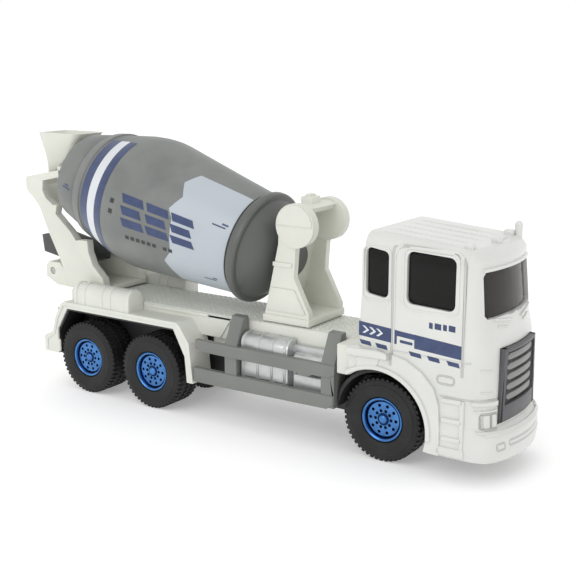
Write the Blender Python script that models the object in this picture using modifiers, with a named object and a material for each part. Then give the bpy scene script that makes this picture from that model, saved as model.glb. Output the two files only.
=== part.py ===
"""A toy concrete mixer lorry: a three-axle forward-control truck whose drum turns on an inclined axis.

Frame: +X towards the cab, +Y to the truck's left, +Z up. The tyres stand on Z = 0 and the middle of the
truck's length and width is at the origin. Sizes are in millimetres and become metres in the meshes.
"""

import math

import bmesh
import bpy
from mathutils import Matrix, Vector

MM = 0.001

# Fits between pieces
SEAT = 0.3  # gap between pieces that touch
RUNNING = 0.1  # gap round a shaft that turns

# Wheels and axles
TYRE_RADIUS = 9.0
TYRE_HOLE = 5.0
RIM_RADIUS = 4.75
AXLE_RADIUS = 1.0
FRONT_AXLE_X = 40.0
MID_AXLE_X = -21.75
REAR_AXLE_X = -42.6
FRONT_TYRE_WIDTH = 5.5
REAR_TYRE_WIDTH = 8.0
FRONT_TRACK_HALF = 11.5  # to the outer face of the tyre
REAR_TRACK_HALF = 13.2
RIM_INSET = 0.5
AXLE_END_COVER = 2.2  # rim left over the end of the axle

# Chassis
CHASSIS_HALF = 4.5
CHASSIS_REAR = -50.5
CHASSIS_FRONT = 54.0
CHASSIS_LOW = 6.6
CHASSIS_TOP = 16.0
SCREW_X = (REAR_AXLE_X + 10.4, 12.0)

# Deck
BODY_HALF = 13.3  # half the width over the cab and the wheel boxes
DECK_HALF = 7.8
DECK_TOP = 24.4
DECK_REAR = -52.6
WHEEL_BOX_TOP = DECK_TOP - 1.9
LOCKER_GAP = 0.4  # between a locker and the arm of the rear support
WHEEL_BOX_INNER = 6.4
TAIL_REAR = -57.2

# Cab
CAB_REAR = 35.3
CAB_SIDE_FRONT = 59.3
CAB_LOW = 5.2
CAB_SILL = 18.0
CAB_ROOF = 48.6
CAB_WALL = 1.3
ARCH_RADIUS = 11.4
GLASS = 0.9

# Drum, measured along its axis from the plane of the front ring towards the mouth
DRUM_TILT = math.radians(13.0)
DRUM_ORIGIN = (2.4, 39.6)  # X and Z of the axis at the front ring
DRUM_FRONT_RADIUS = 12.1
DRUM_RING_RADIUS = 13.1
DRUM_BELLY_RADIUS = 16.15
DRUM_BELLY_AT = 31.6
DRUM_SHOULDER_RADIUS = 15.5
DRUM_SHOULDER_AT = 38.0
DRUM_SEAM_AT = 49.0
DRUM_SEAM_RADIUS = 12.8
COLLAR_WIDTH = 3.4  # raised band just ahead of the seam
COLLAR_RISE = 0.4
DRUM_MOUTH_RADIUS = 10.8
DRUM_MOUTH_AT = 56.2
DRUM_WALL = 1.2
HUB_RADIUS = 3.9
HUB_END = -9.8
PIVOT_PIN_RADIUS = 1.3
PIN_END = DRUM_MOUTH_AT + 8.0

# Front pedestal
PEDESTAL_HALF = 7.5
PEDESTAL_WALL = 1.6
PEDESTAL_REAR = 7.2
PEDESTAL_FRONT = 19.6
PEDESTAL_DISC_X = 15.8
PEDESTAL_DISC_Z = 46.7
PEDESTAL_DISC_RADIUS = 4.85

# Rear support, hopper and chute
ARM_HALF = 7.6
ARM_WALL = 2.1
SUPPORT_REAR = -67.4
CUP_TOP = 52.0
HOPPER_TOP = 63.2
HOPPER_WALL = 0.9
CHUTE_PIVOT = (-59.6, 28.2)
CHUTE_PIN_RADIUS = 0.8
CHUTE_HALF = 4.2
CHUTE_WALL = 0.9
CHUTE_HINGE_HALF = 2.6

# Side guards and tanks
GUARD_FACE = 13.3
GUARD_DEPTH = 1.4
UPPER_RAIL = (-7.6, 29.7, 16.6, 19.3)  # rear, front, low, high
LOWER_RAIL = (-8.3, 29.4, 9.2, 12.6)
POST_WIDTH = 3.3
REAR_POST_X = 0.6
FRONT_POST_X = 26.2
TANK_REAR = 3.6
TANK_FRONT = 16.8
TANK_TOP = 22.2
TANK_LOW = 11.6
TANK_RADIUS = 2.4

SCREW_HEAD_RADIUS = 2.0

LORRY = bpy.data.collections.new("concrete_mixer_lorry")
CUTTERS = bpy.data.collections.new("cutters")


# ---------------------------------------------------------------- modelling helpers


def clear_scene():
    for obj in list(bpy.data.objects):
        bpy.data.objects.remove(obj, do_unlink=True)


def material(name, colour, roughness, metallic=0.0):
    made = bpy.data.materials.new(name)
    made.use_nodes = True
    shader = made.node_tree.nodes["Principled BSDF"]
    shader.inputs["Base Color"].default_value = (*colour, 1.0)
    shader.inputs["Roughness"].default_value = roughness
    shader.inputs["Metallic"].default_value = metallic
    return made


def add(name, mesh, collection):
    obj = bpy.data.objects.new(name, mesh)
    collection.objects.link(obj)
    return obj


def face_outwards(shape):
    bmesh.ops.recalc_face_normals(shape, faces=shape.faces)
    if shape.calc_volume(signed=True) < 0:
        bmesh.ops.reverse_faces(shape, faces=shape.faces)


def from_bmesh(name, shape):
    face_outwards(shape)
    mesh = bpy.data.meshes.new(name)
    shape.to_mesh(mesh)
    shape.free()
    return add(name, mesh, CUTTERS)


def evaluated(obj):
    """The object as a plain mesh at the origin, in place of the original and its modifiers."""
    bpy.context.view_layer.update()
    graph = bpy.context.evaluated_depsgraph_get()
    mesh = bpy.data.meshes.new_from_object(obj.evaluated_get(graph))
    mesh.transform(obj.matrix_world)
    welded = bmesh.new()
    welded.from_mesh(mesh)
    bmesh.ops.remove_doubles(welded, verts=welded.verts, dist=1e-7)
    face_outwards(welded)
    welded.to_mesh(mesh)
    welded.free()
    name = obj.name
    bpy.data.objects.remove(obj, do_unlink=True)
    mesh.name = name
    return add(name, mesh, CUTTERS)


def block(name, low, high, edge=0.0):
    """A box between two corners, with its edges rounded where edge is given."""
    low, high = Vector(low) * MM, Vector(high) * MM
    shape = bmesh.new()
    bmesh.ops.create_cube(shape, size=1.0)
    bmesh.ops.scale(shape, vec=high - low, verts=shape.verts)
    bmesh.ops.translate(shape, vec=(low + high) / 2, verts=shape.verts)
    if edge:
        edges = shape.edges[:]
        bmesh.ops.bevel(shape, geom=edges, offset=edge * MM, segments=2, profile=0.5, affect="EDGES")
    return from_bmesh(name, shape)


def rod(name, start, end, radius, sides=24, end_radius=None):
    """A cylinder, or a cone frustum, from start to end."""
    start, end = Vector(start) * MM, Vector(end) * MM
    along = end - start
    shape = bmesh.new()
    bmesh.ops.create_cone(
        shape,
        cap_ends=True,
        segments=sides,
        radius1=radius * MM,
        radius2=(radius if end_radius is None else end_radius) * MM,
        depth=along.length,
    )
    turn = along.to_track_quat("Z", "Y").to_matrix().to_4x4()
    shape.transform(Matrix.Translation((start + end) / 2) @ turn)
    return from_bmesh(name, shape)


def prism(name, outline, start, end, axis="Y"):
    """A flat outline given a thickness: X, Z points along Y, X, Y points along Z, or Y, Z points along X."""
    curve = bpy.data.curves.new(name, "CURVE")
    curve.dimensions = "2D"
    curve.fill_mode = "BOTH"
    curve.extrude = abs(end - start) / 2 * MM
    spline = curve.splines.new("POLY")
    spline.points.add(len(outline) - 1)
    for point, (u, v) in zip(spline.points, outline):
        point.co = (u * MM, v * MM, 0, 1)
    spline.use_cyclic_u = True
    obj = add(name, curve, CUTTERS)
    middle = (start + end) / 2 * MM
    turns = {
        "Z": Matrix.Translation((0, 0, middle)),
        "Y": Matrix.Translation((0, middle, 0)) @ Matrix.Rotation(math.pi / 2, 4, "X"),
        "X": Matrix.Translation((middle, 0, 0))
        @ Matrix(((0, 0, 1, 0), (1, 0, 0, 0), (0, 1, 0, 0), (0, 0, 0, 1))),
    }
    obj.matrix_world = turns[axis]
    return evaluated(obj)


def turned(name, profile, place, sides=32, closed=False):
    """A profile of (radius, height) points, running down its outer side, turned about Z and then placed."""
    mesh = bpy.data.meshes.new(name)
    points = [(radius * MM, 0, height * MM) for radius, height in profile]
    edges = [(i, i + 1) for i in range(len(points) - 1)]
    if closed:
        edges.append((len(points) - 1, 0))
    mesh.from_pydata(points, edges, [])
    obj = add(name, mesh, CUTTERS)
    screw = obj.modifiers.new("turn", "SCREW")
    screw.axis = "Z"
    screw.steps = screw.render_steps = sides
    screw.use_merge_vertices = True
    screw.merge_threshold = 1e-5
    obj.matrix_world = place
    return evaluated(obj)


def loft(name, rings):
    """A skin over closed rings of equal numbers of points, capped at both ends."""
    shape = bmesh.new()
    layers = [[shape.verts.new(Vector(point) * MM) for point in ring] for ring in rings]
    count = len(layers[0])
    for lower, upper in zip(layers, layers[1:]):
        for i in range(count):
            j = (i + 1) % count
            shape.faces.new((lower[i], lower[j], upper[j], upper[i]))
    shape.faces.new(layers[0])
    shape.faces.new(layers[-1])
    return from_bmesh(name, shape)


def combine(obj, other, operation):
    joint = obj.modifiers.new(operation.lower(), "BOOLEAN")
    joint.operation = operation
    joint.object = other
    other.hide_render = True
    other.display_type = "WIRE"
    return obj


def join(obj, *others):
    for other in others:
        combine(obj, other, "UNION")
    return obj


def cut(obj, *others):
    for other in others:
        combine(obj, other, "DIFFERENCE")
    return obj


def part(obj, name, finish):
    """Turns a finished shape into a named node of the lorry with its own material."""
    obj.name = obj.data.name = name
    CUTTERS.objects.unlink(obj)
    LORRY.objects.link(obj)
    obj.data.materials.clear()
    obj.data.materials.append(finish)
    obj.data.shade_smooth()
    obj.data.set_sharp_from_angle(angle=math.radians(35))
    return obj


def hang_on(obj, joint, origin):
    """Parents a moving piece to an empty on its joint's axis without moving it."""
    pivot = bpy.data.objects.get(joint)
    if pivot is None:
        pivot = bpy.data.objects.new(joint, None)
        pivot.empty_display_size = 0.004
        pivot.location = Vector(origin) * MM
        LORRY.objects.link(pivot)
        bpy.context.view_layer.update()
    obj.parent = pivot
    obj.matrix_parent_inverse = pivot.matrix_world.inverted()


def arc(centre, radius, start, end, steps):
    """Points on an arc, in degrees, ends included."""
    angles = [math.radians(start + (end - start) * i / steps) for i in range(steps + 1)]
    return [(centre[0] + radius * math.cos(a), centre[1] + radius * math.sin(a)) for a in angles]


def mirrored(build):
    """Makes a left and a right copy of whatever build(side, suffix) makes."""
    for side, suffix in ((1, "left"), (-1, "right")):
        build(side, suffix)


# ---------------------------------------------------------------- wheels and axles


def wheel_place(axle_x, face, side):
    """Stands a turned shape on its axle with its top at the wheel's outer face."""
    turn = Matrix.Rotation(-side * math.pi / 2, 4, "X")
    return Matrix.Translation(Vector((axle_x, side * face, TYRE_RADIUS)) * MM) @ turn


def build_tyre(name, axle_x, face, width, side):
    shoulder = TYRE_RADIUS - 0.45
    half = [
        (TYRE_HOLE, -0.7),
        (TYRE_HOLE + 0.35, -0.15),
        (TYRE_HOLE + 1.6, 0.0),
        (TYRE_RADIUS - 0.9, -0.1),
        (shoulder, -0.45),
        (TYRE_RADIUS, -1.1),
    ]
    profile = half + [(radius, -width - height) for radius, height in reversed(half)]
    tyre = turned(name, profile, wheel_place(axle_x, face, side), sides=32, closed=True)
    return part(tyre, name, RUBBER)


def build_rim(name, axle_x, face, width, side):
    back = -width + RIM_INSET
    bore = AXLE_RADIUS + SEAT / 2
    profile = [
        (0.0, -0.5),
        (1.1, -0.65),
        (1.5, -1.4),
        (3.7, -1.4),
        (4.1, -RIM_INSET),
        (RIM_RADIUS, -RIM_INSET),
        (RIM_RADIUS, back),
        (bore, back),
        (bore, -AXLE_END_COVER),
        (0.0, -AXLE_END_COVER),
    ]
    return part(turned(name, profile, wheel_place(axle_x, face, side), sides=24), name, RIM_BLUE)


def build_axle_set(position, axle_x, face, width):
    joint = position + "_axle_pivot"
    origin = (axle_x, 0, TYRE_RADIUS)
    reach = face - AXLE_END_COVER - SEAT
    axle = rod("axle", (axle_x, -reach, TYRE_RADIUS), (axle_x, reach, TYRE_RADIUS), AXLE_RADIUS, 16)
    hang_on(part(axle, position + "_axle", STEEL), joint, origin)
    for side, suffix in ((1, "left"), (-1, "right")):
        label = "_" + position + "_" + suffix
        hang_on(build_rim("wheel" + label, axle_x, face, width, side), joint, origin)
        hang_on(build_tyre("tyre" + label, axle_x, face, width, side), joint, origin)


# ---------------------------------------------------------------- chassis and deck


def build_chassis():
    front_tyre_inner = FRONT_TRACK_HALF - FRONT_TYRE_WIDTH
    chassis = block(
        "chassis",
        (CHASSIS_REAR, -CHASSIS_HALF, CHASSIS_LOW),
        (CHASSIS_FRONT, CHASSIS_HALF, CHASSIS_TOP),
        0.4,
    )
    # Liner over the front wheels: a half ring with its ends cut off above the sill
    liner_outer = ARCH_RADIUS - SEAT
    liner_inner = TYRE_RADIUS + 1.3
    arch = (
        arc((FRONT_AXLE_X, TYRE_RADIUS), liner_outer, -8, 188, 20)
        + arc((FRONT_AXLE_X, TYRE_RADIUS), liner_inner, 188, -8, 20)
    )
    liner_half = BODY_HALF - CAB_WALL - SEAT
    liner = prism("liner", arch, -liner_half, liner_half)
    saddle = block(
        "saddle",
        (UPPER_RAIL[1] - 5.6, -DECK_HALF + 0.4, CHASSIS_LOW + 1.4),
        (FRONT_AXLE_X - liner_inner - 0.2, DECK_HALF - 0.4, CHASSIS_TOP),
    )
    front_plate = block(
        "front_plate",
        (FRONT_AXLE_X + liner_inner + 0.2, -BODY_HALF + CAB_WALL + 1.0, CHASSIS_LOW),
        (CAB_SIDE_FRONT - 1.5, BODY_HALF - CAB_WALL - 1.0, CHASSIS_LOW + 2.2),
    )
    tank_bed = block(
        "tank_bed",
        (TANK_REAR - 3.0, -DECK_HALF + 0.4, CHASSIS_LOW + 2.0),
        (UPPER_RAIL[1] - 4.0, DECK_HALF - 0.4, 15.2),
    )
    join(chassis, liner, saddle, front_plate, tank_bed)
    post_front = FRONT_POST_X + POST_WIDTH + SEAT
    for side in (1, -1):
        low, high = sorted((side * DECK_HALF, side * (BODY_HALF + 1)))
        cut(chassis, block("post_notch", (post_front - 3, low, 0), (post_front, high, CAB_SILL + 2)))
    for axle_x in (FRONT_AXLE_X, MID_AXLE_X, REAR_AXLE_X):
        reach = front_tyre_inner + 2
        cut(
            chassis,
            rod(
                "axle_bore",
                (axle_x, -reach, TYRE_RADIUS),
                (axle_x, reach, TYRE_RADIUS),
                AXLE_RADIUS + RUNNING,
                16,
            ),
        )
    for x in SCREW_X:
        low = (x, 0, CHASSIS_LOW - 1)
        cut(
            chassis,
            rod("screw_head_hole", low, (x, 0, CHASSIS_LOW + 2.0), SCREW_HEAD_RADIUS + SEAT, 16),
            rod("screw_hole", low, (x, 0, CHASSIS_TOP + 1), 1.0 + SEAT / 2, 12),
        )
    return part(chassis, "chassis", CHASSIS_BLACK)


def build_screws():
    for index, x in enumerate(SCREW_X, 1):
        head = CHASSIS_LOW + 0.3
        screw = rod("screw", (x, 0, head), (x, 0, head + 1.2), SCREW_HEAD_RADIUS, 16)
        join(screw, rod("screw_shank", (x, 0, head + 0.6), (x, 0, CHASSIS_TOP + 3.4), 1.0, 12))
        slot = block("screw_slot", (x - 1.5, -0.25, head - 1), (x + 1.5, 0.25, head + 0.5))
        part(cut(screw, slot), "base_screw_%d" % index, STEEL)


def build_deck():
    deck_low = max(TYRE_RADIUS * 2 + 0.8, CHASSIS_TOP + SEAT)  # clear of the tyres and the chassis
    deck = block(
        "deck", (DECK_REAR, -DECK_HALF, deck_low), (CAB_REAR - SEAT, DECK_HALF, DECK_TOP), 0.3
    )
    keel = block(
        "keel",
        (DECK_REAR, -CHASSIS_HALF, CHASSIS_TOP + SEAT),
        (CAB_REAR - SEAT, CHASSIS_HALF, DECK_TOP - 1.0),
    )
    side_outline = [
        (TAIL_REAR, 8.8),
        (TAIL_REAR, 12.7),
        (-54.0, 14.3),
        (-52.8, 18.5),
        (-50.8, WHEEL_BOX_TOP - 0.8),
        (-49.6, WHEEL_BOX_TOP),
        (-13.0, WHEEL_BOX_TOP),
        (-12.2, WHEEL_BOX_TOP - 0.6),
        (-9.4, 17.9),
        (-8.5, 8.5),
        (-10.3, 8.5),
        (-10.8, 14.6),
        (-14.1, 20.8),
        (-48.7, 20.8),
        (-52.3, 15.1),
        (-52.3, 8.8),
    ]
    join(deck, keel)
    for side in (1, -1):
        wheel_box = prism("wheel_box", side_outline, side * WHEEL_BOX_INNER, side * BODY_HALF)
        # Rounded locker on the wheel box: a half cylinder on a low wall
        inner, outer = ARM_HALF + LOCKER_GAP, BODY_HALF - 0.3
        centre, radius = ((inner + outer) / 2, WHEEL_BOX_TOP + 2.6), (outer - inner) / 2
        locker_outline = (
            [(side * inner, WHEEL_BOX_TOP - 0.6)]
            + [(side * y, z) for y, z in arc(centre, radius, 180, 0, 10)]
            + [(side * outer, WHEEL_BOX_TOP - 0.6)]
        )
        locker = prism("locker", locker_outline, -46.2, -28.0, "X")
        corner = block(
            "front_corner",
            (CAB_REAR - 5.0, min(side * 6.0, side * BODY_HALF), CAB_SILL),
            (CAB_REAR - SEAT, max(side * 6.0, side * BODY_HALF), DECK_TOP),
            0.3,
        )
        join(deck, wheel_box, locker, corner)
    tail = block("tail", (TAIL_REAR, -BODY_HALF, 9.2), (DECK_REAR + 0.8, BODY_HALF, 12.4), 0.3)
    web_high = (CHASSIS_REAR - SEAT, CHASSIS_HALF, DECK_TOP - 1)
    tail_web = block("tail_web", (DECK_REAR, -CHASSIS_HALF, 10.0), web_high)
    join(deck, tail, tail_web)
    arch_low = (FRONT_AXLE_X, -BODY_HALF - 1, TYRE_RADIUS)
    arch_high = (FRONT_AXLE_X, BODY_HALF + 1, TYRE_RADIUS)
    cut(deck, rod("arch_clearance", arch_low, arch_high, ARCH_RADIUS, 40))
    for x in SCREW_X:
        cut(deck, rod("screw_bore", (x, 0, CHASSIS_TOP - 1), (x, 0, CHASSIS_TOP + 4.4), 1.0 + SEAT / 2, 12))
    return part(deck, "deck_body", WHITE_PAINT)


# ---------------------------------------------------------------- cab


def cab_ring(z, rear, side_front, nose, bow, half, nose_half, slope=0.0):
    """A plan outline of the cab: a bowed nose, a swept corner panel on each side and a flat back."""
    quarter = []
    for i in range(5):
        y = nose_half * i / 4
        quarter.append((nose + bow * (1 - (i / 4) ** 2), y))
    for i in range(1, 6):
        share = i / 5
        bulge = 0.9 * math.sin(math.pi * share)
        x = nose + (side_front - nose) * share + bulge * (half - nose_half) / 5
        quarter.append((x, nose_half + (half - nose_half) * share + bulge * (nose - side_front) / 5))
    quarter += [(rear + 1.0, half), (rear + 0.3, half - 0.3), (rear, half - 1.0)]
    full = quarter + [(x, -y) for x, y in reversed(quarter) if y > 0]
    return [(x, y, z + slope * (48.0 - x)) for x, y in full]


def cab_rings(inset):
    """The cab's sections from the bumper to the roof, moved inwards by inset."""
    inner = 1 if inset else 0
    rows = [
        # height, side front, nose, bow, half width, nose half width, slope
        (CAB_LOW - inner, 60.2, 65.4, 1.7, BODY_HALF, 9.6, 0.0),
        (7.0, 60.6, 65.6, 1.8, BODY_HALF + 0.15, 9.8, 0.0),
        (10.8, 60.4, 65.3, 1.7, BODY_HALF + 0.15, 9.6, 0.0),
        (12.0, CAB_SIDE_FRONT, 64.2, 1.0, BODY_HALF, 8.8, 0.0),
        (27.6, CAB_SIDE_FRONT - 0.2, 63.6, 1.0, BODY_HALF, 8.8, 0.0),
        (31.5, CAB_SIDE_FRONT - 0.5, 62.4, 1.3, BODY_HALF, 9.6, 0.02),
        (42.6, CAB_SIDE_FRONT - 1.0, 61.2, 1.4, BODY_HALF, 9.8, 0.05),
        (45.4, CAB_SIDE_FRONT - 1.1, 61.1, 1.3, BODY_HALF - 0.1, 9.6, 0.07),
        (46.6, CAB_SIDE_FRONT - 1.5, 60.4, 1.2, BODY_HALF - 0.6, 9.2, 0.08),
        (CAB_ROOF - 1.2, CAB_SIDE_FRONT - 2.5, 58.9, 1.0, BODY_HALF - 1.9, 8.4, 0.08),
    ]
    rings = []
    for z, side_front, nose, bow, half, nose_half, slope in rows:
        lean = max(0.0, z - 30.0) * 0.07
        top = inset if z > 44 else 0.0
        rear, front, tip = CAB_REAR + lean + inset, side_front - inset, nose - inset
        rings.append(cab_ring(z - top, rear, front, tip, bow, half - inset, nose_half, slope))
    return rings


def window(name, x0, x1, z0, z1, corner, across):
    """A rounded side window's cutter, from one side of the cab to the other when across is set."""
    outline = (
        arc((x1 - corner, z1 - corner - 0.4), corner, 90, 0, 4)
        + arc((x1 - corner, z0 + corner), corner, 0, -90, 4)
        + arc((x0 + corner, z0 + corner + 0.4), corner, -90, -180, 4)
        + arc((x0 + corner, z1 - corner), corner, 180, 90, 4)
    )
    return prism(name, outline, *across)


def build_cab():
    cab = loft("cab", cab_rings(0.0))
    hollow = loft("cab_hollow", cab_rings(CAB_WALL))
    across = (-BODY_HALF - 2, BODY_HALF + 2)
    arch = rod(
        "wheel_arch",
        (FRONT_AXLE_X, across[0], TYRE_RADIUS),
        (FRONT_AXLE_X, across[1], TYRE_RADIUS),
        ARCH_RADIUS,
        40,
    )
    below = block("below_sill", (CAB_REAR - 8, across[0], 0), (FRONT_AXLE_X, across[1], CAB_SILL))
    step_high = (FRONT_AXLE_X + ARCH_RADIUS, across[1], TYRE_RADIUS)
    step = block("below_step", (FRONT_AXLE_X - 1, across[0], -1), step_high)
    cut(cab, hollow, arch, below, step)
    cut(cab, window("rear_light", 37.0, 42.2, 35.5, 45.4, 1.2, across))
    cut(cab, window("door_light", 46.2, 56.7, 34.6, 45.5, 1.4, across))
    screen = [
        (-10.9, 34.1),
        (-10.1, 33.3),
        (10.1, 33.3),
        (10.9, 34.1),
        (10.7, 41.5),
        (9.9, 42.3),
        (-9.9, 42.3),
        (-10.7, 41.5),
    ]
    cut(cab, prism("screen_opening", screen, 57.5, 70.0, "X"))
    grille_hole = [(-8.6, 12.3), (8.6, 12.3), (7.8, 27.4), (-7.8, 27.4)]
    cut(cab, prism("grille_opening", grille_hole, 60.5, 70.0, "X"))
    # Marker lamps along the front of the roof, and the beacon on its left corner
    for x, y in ((58.0, -9.4), (59.4, 0.0), (58.0, 9.4)):
        join(cab, block("roof_lamp", (x - 1.4, y - 0.9, 46.3), (x + 0.5, y + 0.9, 47.6), 0.3))
    join(cab, rod("beacon", (59.0, 10.8, 45.9), (59.0, 10.8, 48.8), 0.8, 12))
    return part(cab, "cab_shell", WHITE_PAINT)


def build_cab_glass():
    inset = CAB_WALL + SEAT
    glass = loft("glass", cab_rings(inset))
    inner = loft("glass_inner", cab_rings(inset + GLASS))
    low = block("glass_low", (20, -20, -5), (80, 20, 32.6))
    high = block("glass_high", (20, -20, 45.9), (80, 20, 60))
    back = block("glass_back", (20, -20, 0), (CAB_REAR + inset + 1.2, 20, 60))
    return part(cut(glass, inner, low, high, back), "cab_glazing", SMOKED)


def build_cab_interior():
    half = BODY_HALF - CAB_WALL - GLASS - 2 * SEAT - 0.4
    floor_z = TYRE_RADIUS + ARCH_RADIUS + SEAT
    rear = CAB_REAR + CAB_WALL + 1.0
    interior = block("interior", (rear, -half, floor_z), (57.6, half, floor_z + 2.0))
    for side in (1, -1):
        inner, outer = 2.0, half - 1.0
        low, high = sorted((side * inner, side * outer))
        seat = block("seat", (rear + 2.0, low, floor_z + 1), (rear + 9.5, high, 29.0), 0.6)
        back = block("seat_back", (rear + 1.0, low, floor_z + 1), (rear + 3.4, high, 40.0), 0.6)
        join(interior, seat, back)
    dash = block("dash", (54.4, -half, floor_z + 1), (57.6, half, 33.0), 0.6)
    wheel = rod("steering_wheel", (52.2, 5.0, 34.6), (52.8, 5.0, 33.9), 2.4, 16)
    column = rod("steering_column", (52.5, 5.0, 34.2), (55.5, 5.0, 31.0), 0.6, 8)
    return part(join(interior, dash, wheel, column), "cab_interior", INTERIOR_TAN)


def build_grille():
    front = 64.9
    outline = [(-8.3, 12.6), (8.3, 12.6), (7.5, 27.1), (-7.5, 27.1)]
    grille = prism("grille", outline, front - 1.6, front, "X")
    inner = [(-6.9, 13.6), (6.9, 13.6), (6.4, 26.2), (-6.4, 26.2)]
    flange = prism("flange", inner, front - 3.0, front - 1.0, "X")
    join(grille, flange)
    for i in range(5):
        z = 16.9 + 2.0 * i
        cut(grille, block("grille_gap", (front - 0.8, -6.2, z), (front + 1, 6.2, z + 0.8)))
    return part(grille, "grille", GREY_PLASTIC)


# ---------------------------------------------------------------- drum


def drum_place():
    """Lays turned shapes along the drum's axis, with heights running from the front ring to the mouth."""
    turn = Matrix.Rotation(DRUM_TILT - math.pi / 2, 4, "Y")
    return Matrix.Translation(Vector((DRUM_ORIGIN[0], 0, DRUM_ORIGIN[1])) * MM) @ turn


def on_axis(distance):
    """A point on the drum's axis."""
    x, z = DRUM_ORIGIN
    return (x - distance * math.cos(DRUM_TILT), 0, z + distance * math.sin(DRUM_TILT))


def down(outer, inner):
    """A turned profile from its outer and inner lines, both given front to mouth."""
    return list(reversed(outer)) + inner


def build_drum():
    place = drum_place()
    axis_point = on_axis(0)
    wall = DRUM_WALL
    belly = [
        (DRUM_FRONT_RADIUS, 1.9),
        (DRUM_BELLY_RADIUS - 0.25, DRUM_BELLY_AT - 2.0),
        (DRUM_BELLY_RADIUS, DRUM_BELLY_AT),
        (DRUM_BELLY_RADIUS - 0.05, DRUM_BELLY_AT + 2.0),
        (DRUM_SHOULDER_RADIUS, DRUM_SHOULDER_AT),
        (DRUM_SEAM_RADIUS, DRUM_SEAM_AT),
    ]
    inside = [(radius - wall, height) for radius, height in belly]
    fall = (DRUM_SHOULDER_RADIUS - DRUM_SEAM_RADIUS) / (DRUM_SEAM_AT - DRUM_SHOULDER_AT)
    collar = []
    for back, rise in ((COLLAR_WIDTH, 0.0), (COLLAR_WIDTH - 0.3, COLLAR_RISE), (0.8, COLLAR_RISE), (0.5, 0.0)):
        collar.append((DRUM_SEAM_RADIUS + fall * back + rise, DRUM_SEAM_AT - back))
    shell = turned(
        "shell",
        down(belly[:-1] + collar + belly[-1:], inside),
        place,
        40,
        closed=True,
    )
    hang_on(part(shell, "drum_shell", GREY_PLASTIC), "drum_pivot", axis_point)

    tail_start = DRUM_SEAM_AT + SEAT
    floor_at = DRUM_MOUTH_AT - 5.0
    bore = PIVOT_PIN_RADIUS + RUNNING
    cone_outer = [
        (DRUM_SEAM_RADIUS - 0.35, tail_start),
        (DRUM_MOUTH_RADIUS + 0.3, DRUM_MOUTH_AT - 1.2),
        (DRUM_MOUTH_RADIUS, DRUM_MOUTH_AT),
        (DRUM_MOUTH_RADIUS - wall, DRUM_MOUTH_AT),
        (DRUM_MOUTH_RADIUS - wall, floor_at),
        (bore, floor_at),
    ]
    cone_inner = [
        (DRUM_SEAM_RADIUS - 0.35 - wall, tail_start),
        (DRUM_MOUTH_RADIUS + 0.1, floor_at - wall),
        (bore, floor_at - wall),
    ]
    cone = turned("cone", down(cone_outer, cone_inner), place, 40, closed=True)
    hang_on(part(cone, "drum_tail_cone", GREY_PLASTIC), "drum_pivot", axis_point)

    front_outer = [
        (0.0, HUB_END),
        (HUB_RADIUS - 0.4, HUB_END),
        (HUB_RADIUS, HUB_END + 0.4),
        (HUB_RADIUS, -6.4),
        (5.6, -5.7),
        (8.6, -4.2),
        (11.0, -1.9),
        (11.8, -1.2),
        (12.6, -1.1),
        (DRUM_RING_RADIUS, -0.5),
        (DRUM_RING_RADIUS, 0.8),
        (12.7, 1.4),
        (DRUM_FRONT_RADIUS - 0.1, 1.9 - SEAT),
    ]
    front_inner = [
        (0.0, -4.6),
        (5.6, -4.2),
        (9.4, -1.6),
        (DRUM_FRONT_RADIUS - 1.6, 1.9 - SEAT),
    ]
    cap = turned("cap", front_inner + list(reversed(front_outer)), place, 40)
    hang_on(part(cap, "drum_front_cap", GREY_PLASTIC), "drum_pivot", axis_point)

    pin = rod("pin", on_axis(floor_at - 3.4), on_axis(PIN_END), PIVOT_PIN_RADIUS, 16)
    part(pin, "drum_rear_pin", STEEL)


# ---------------------------------------------------------------- supports


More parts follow.
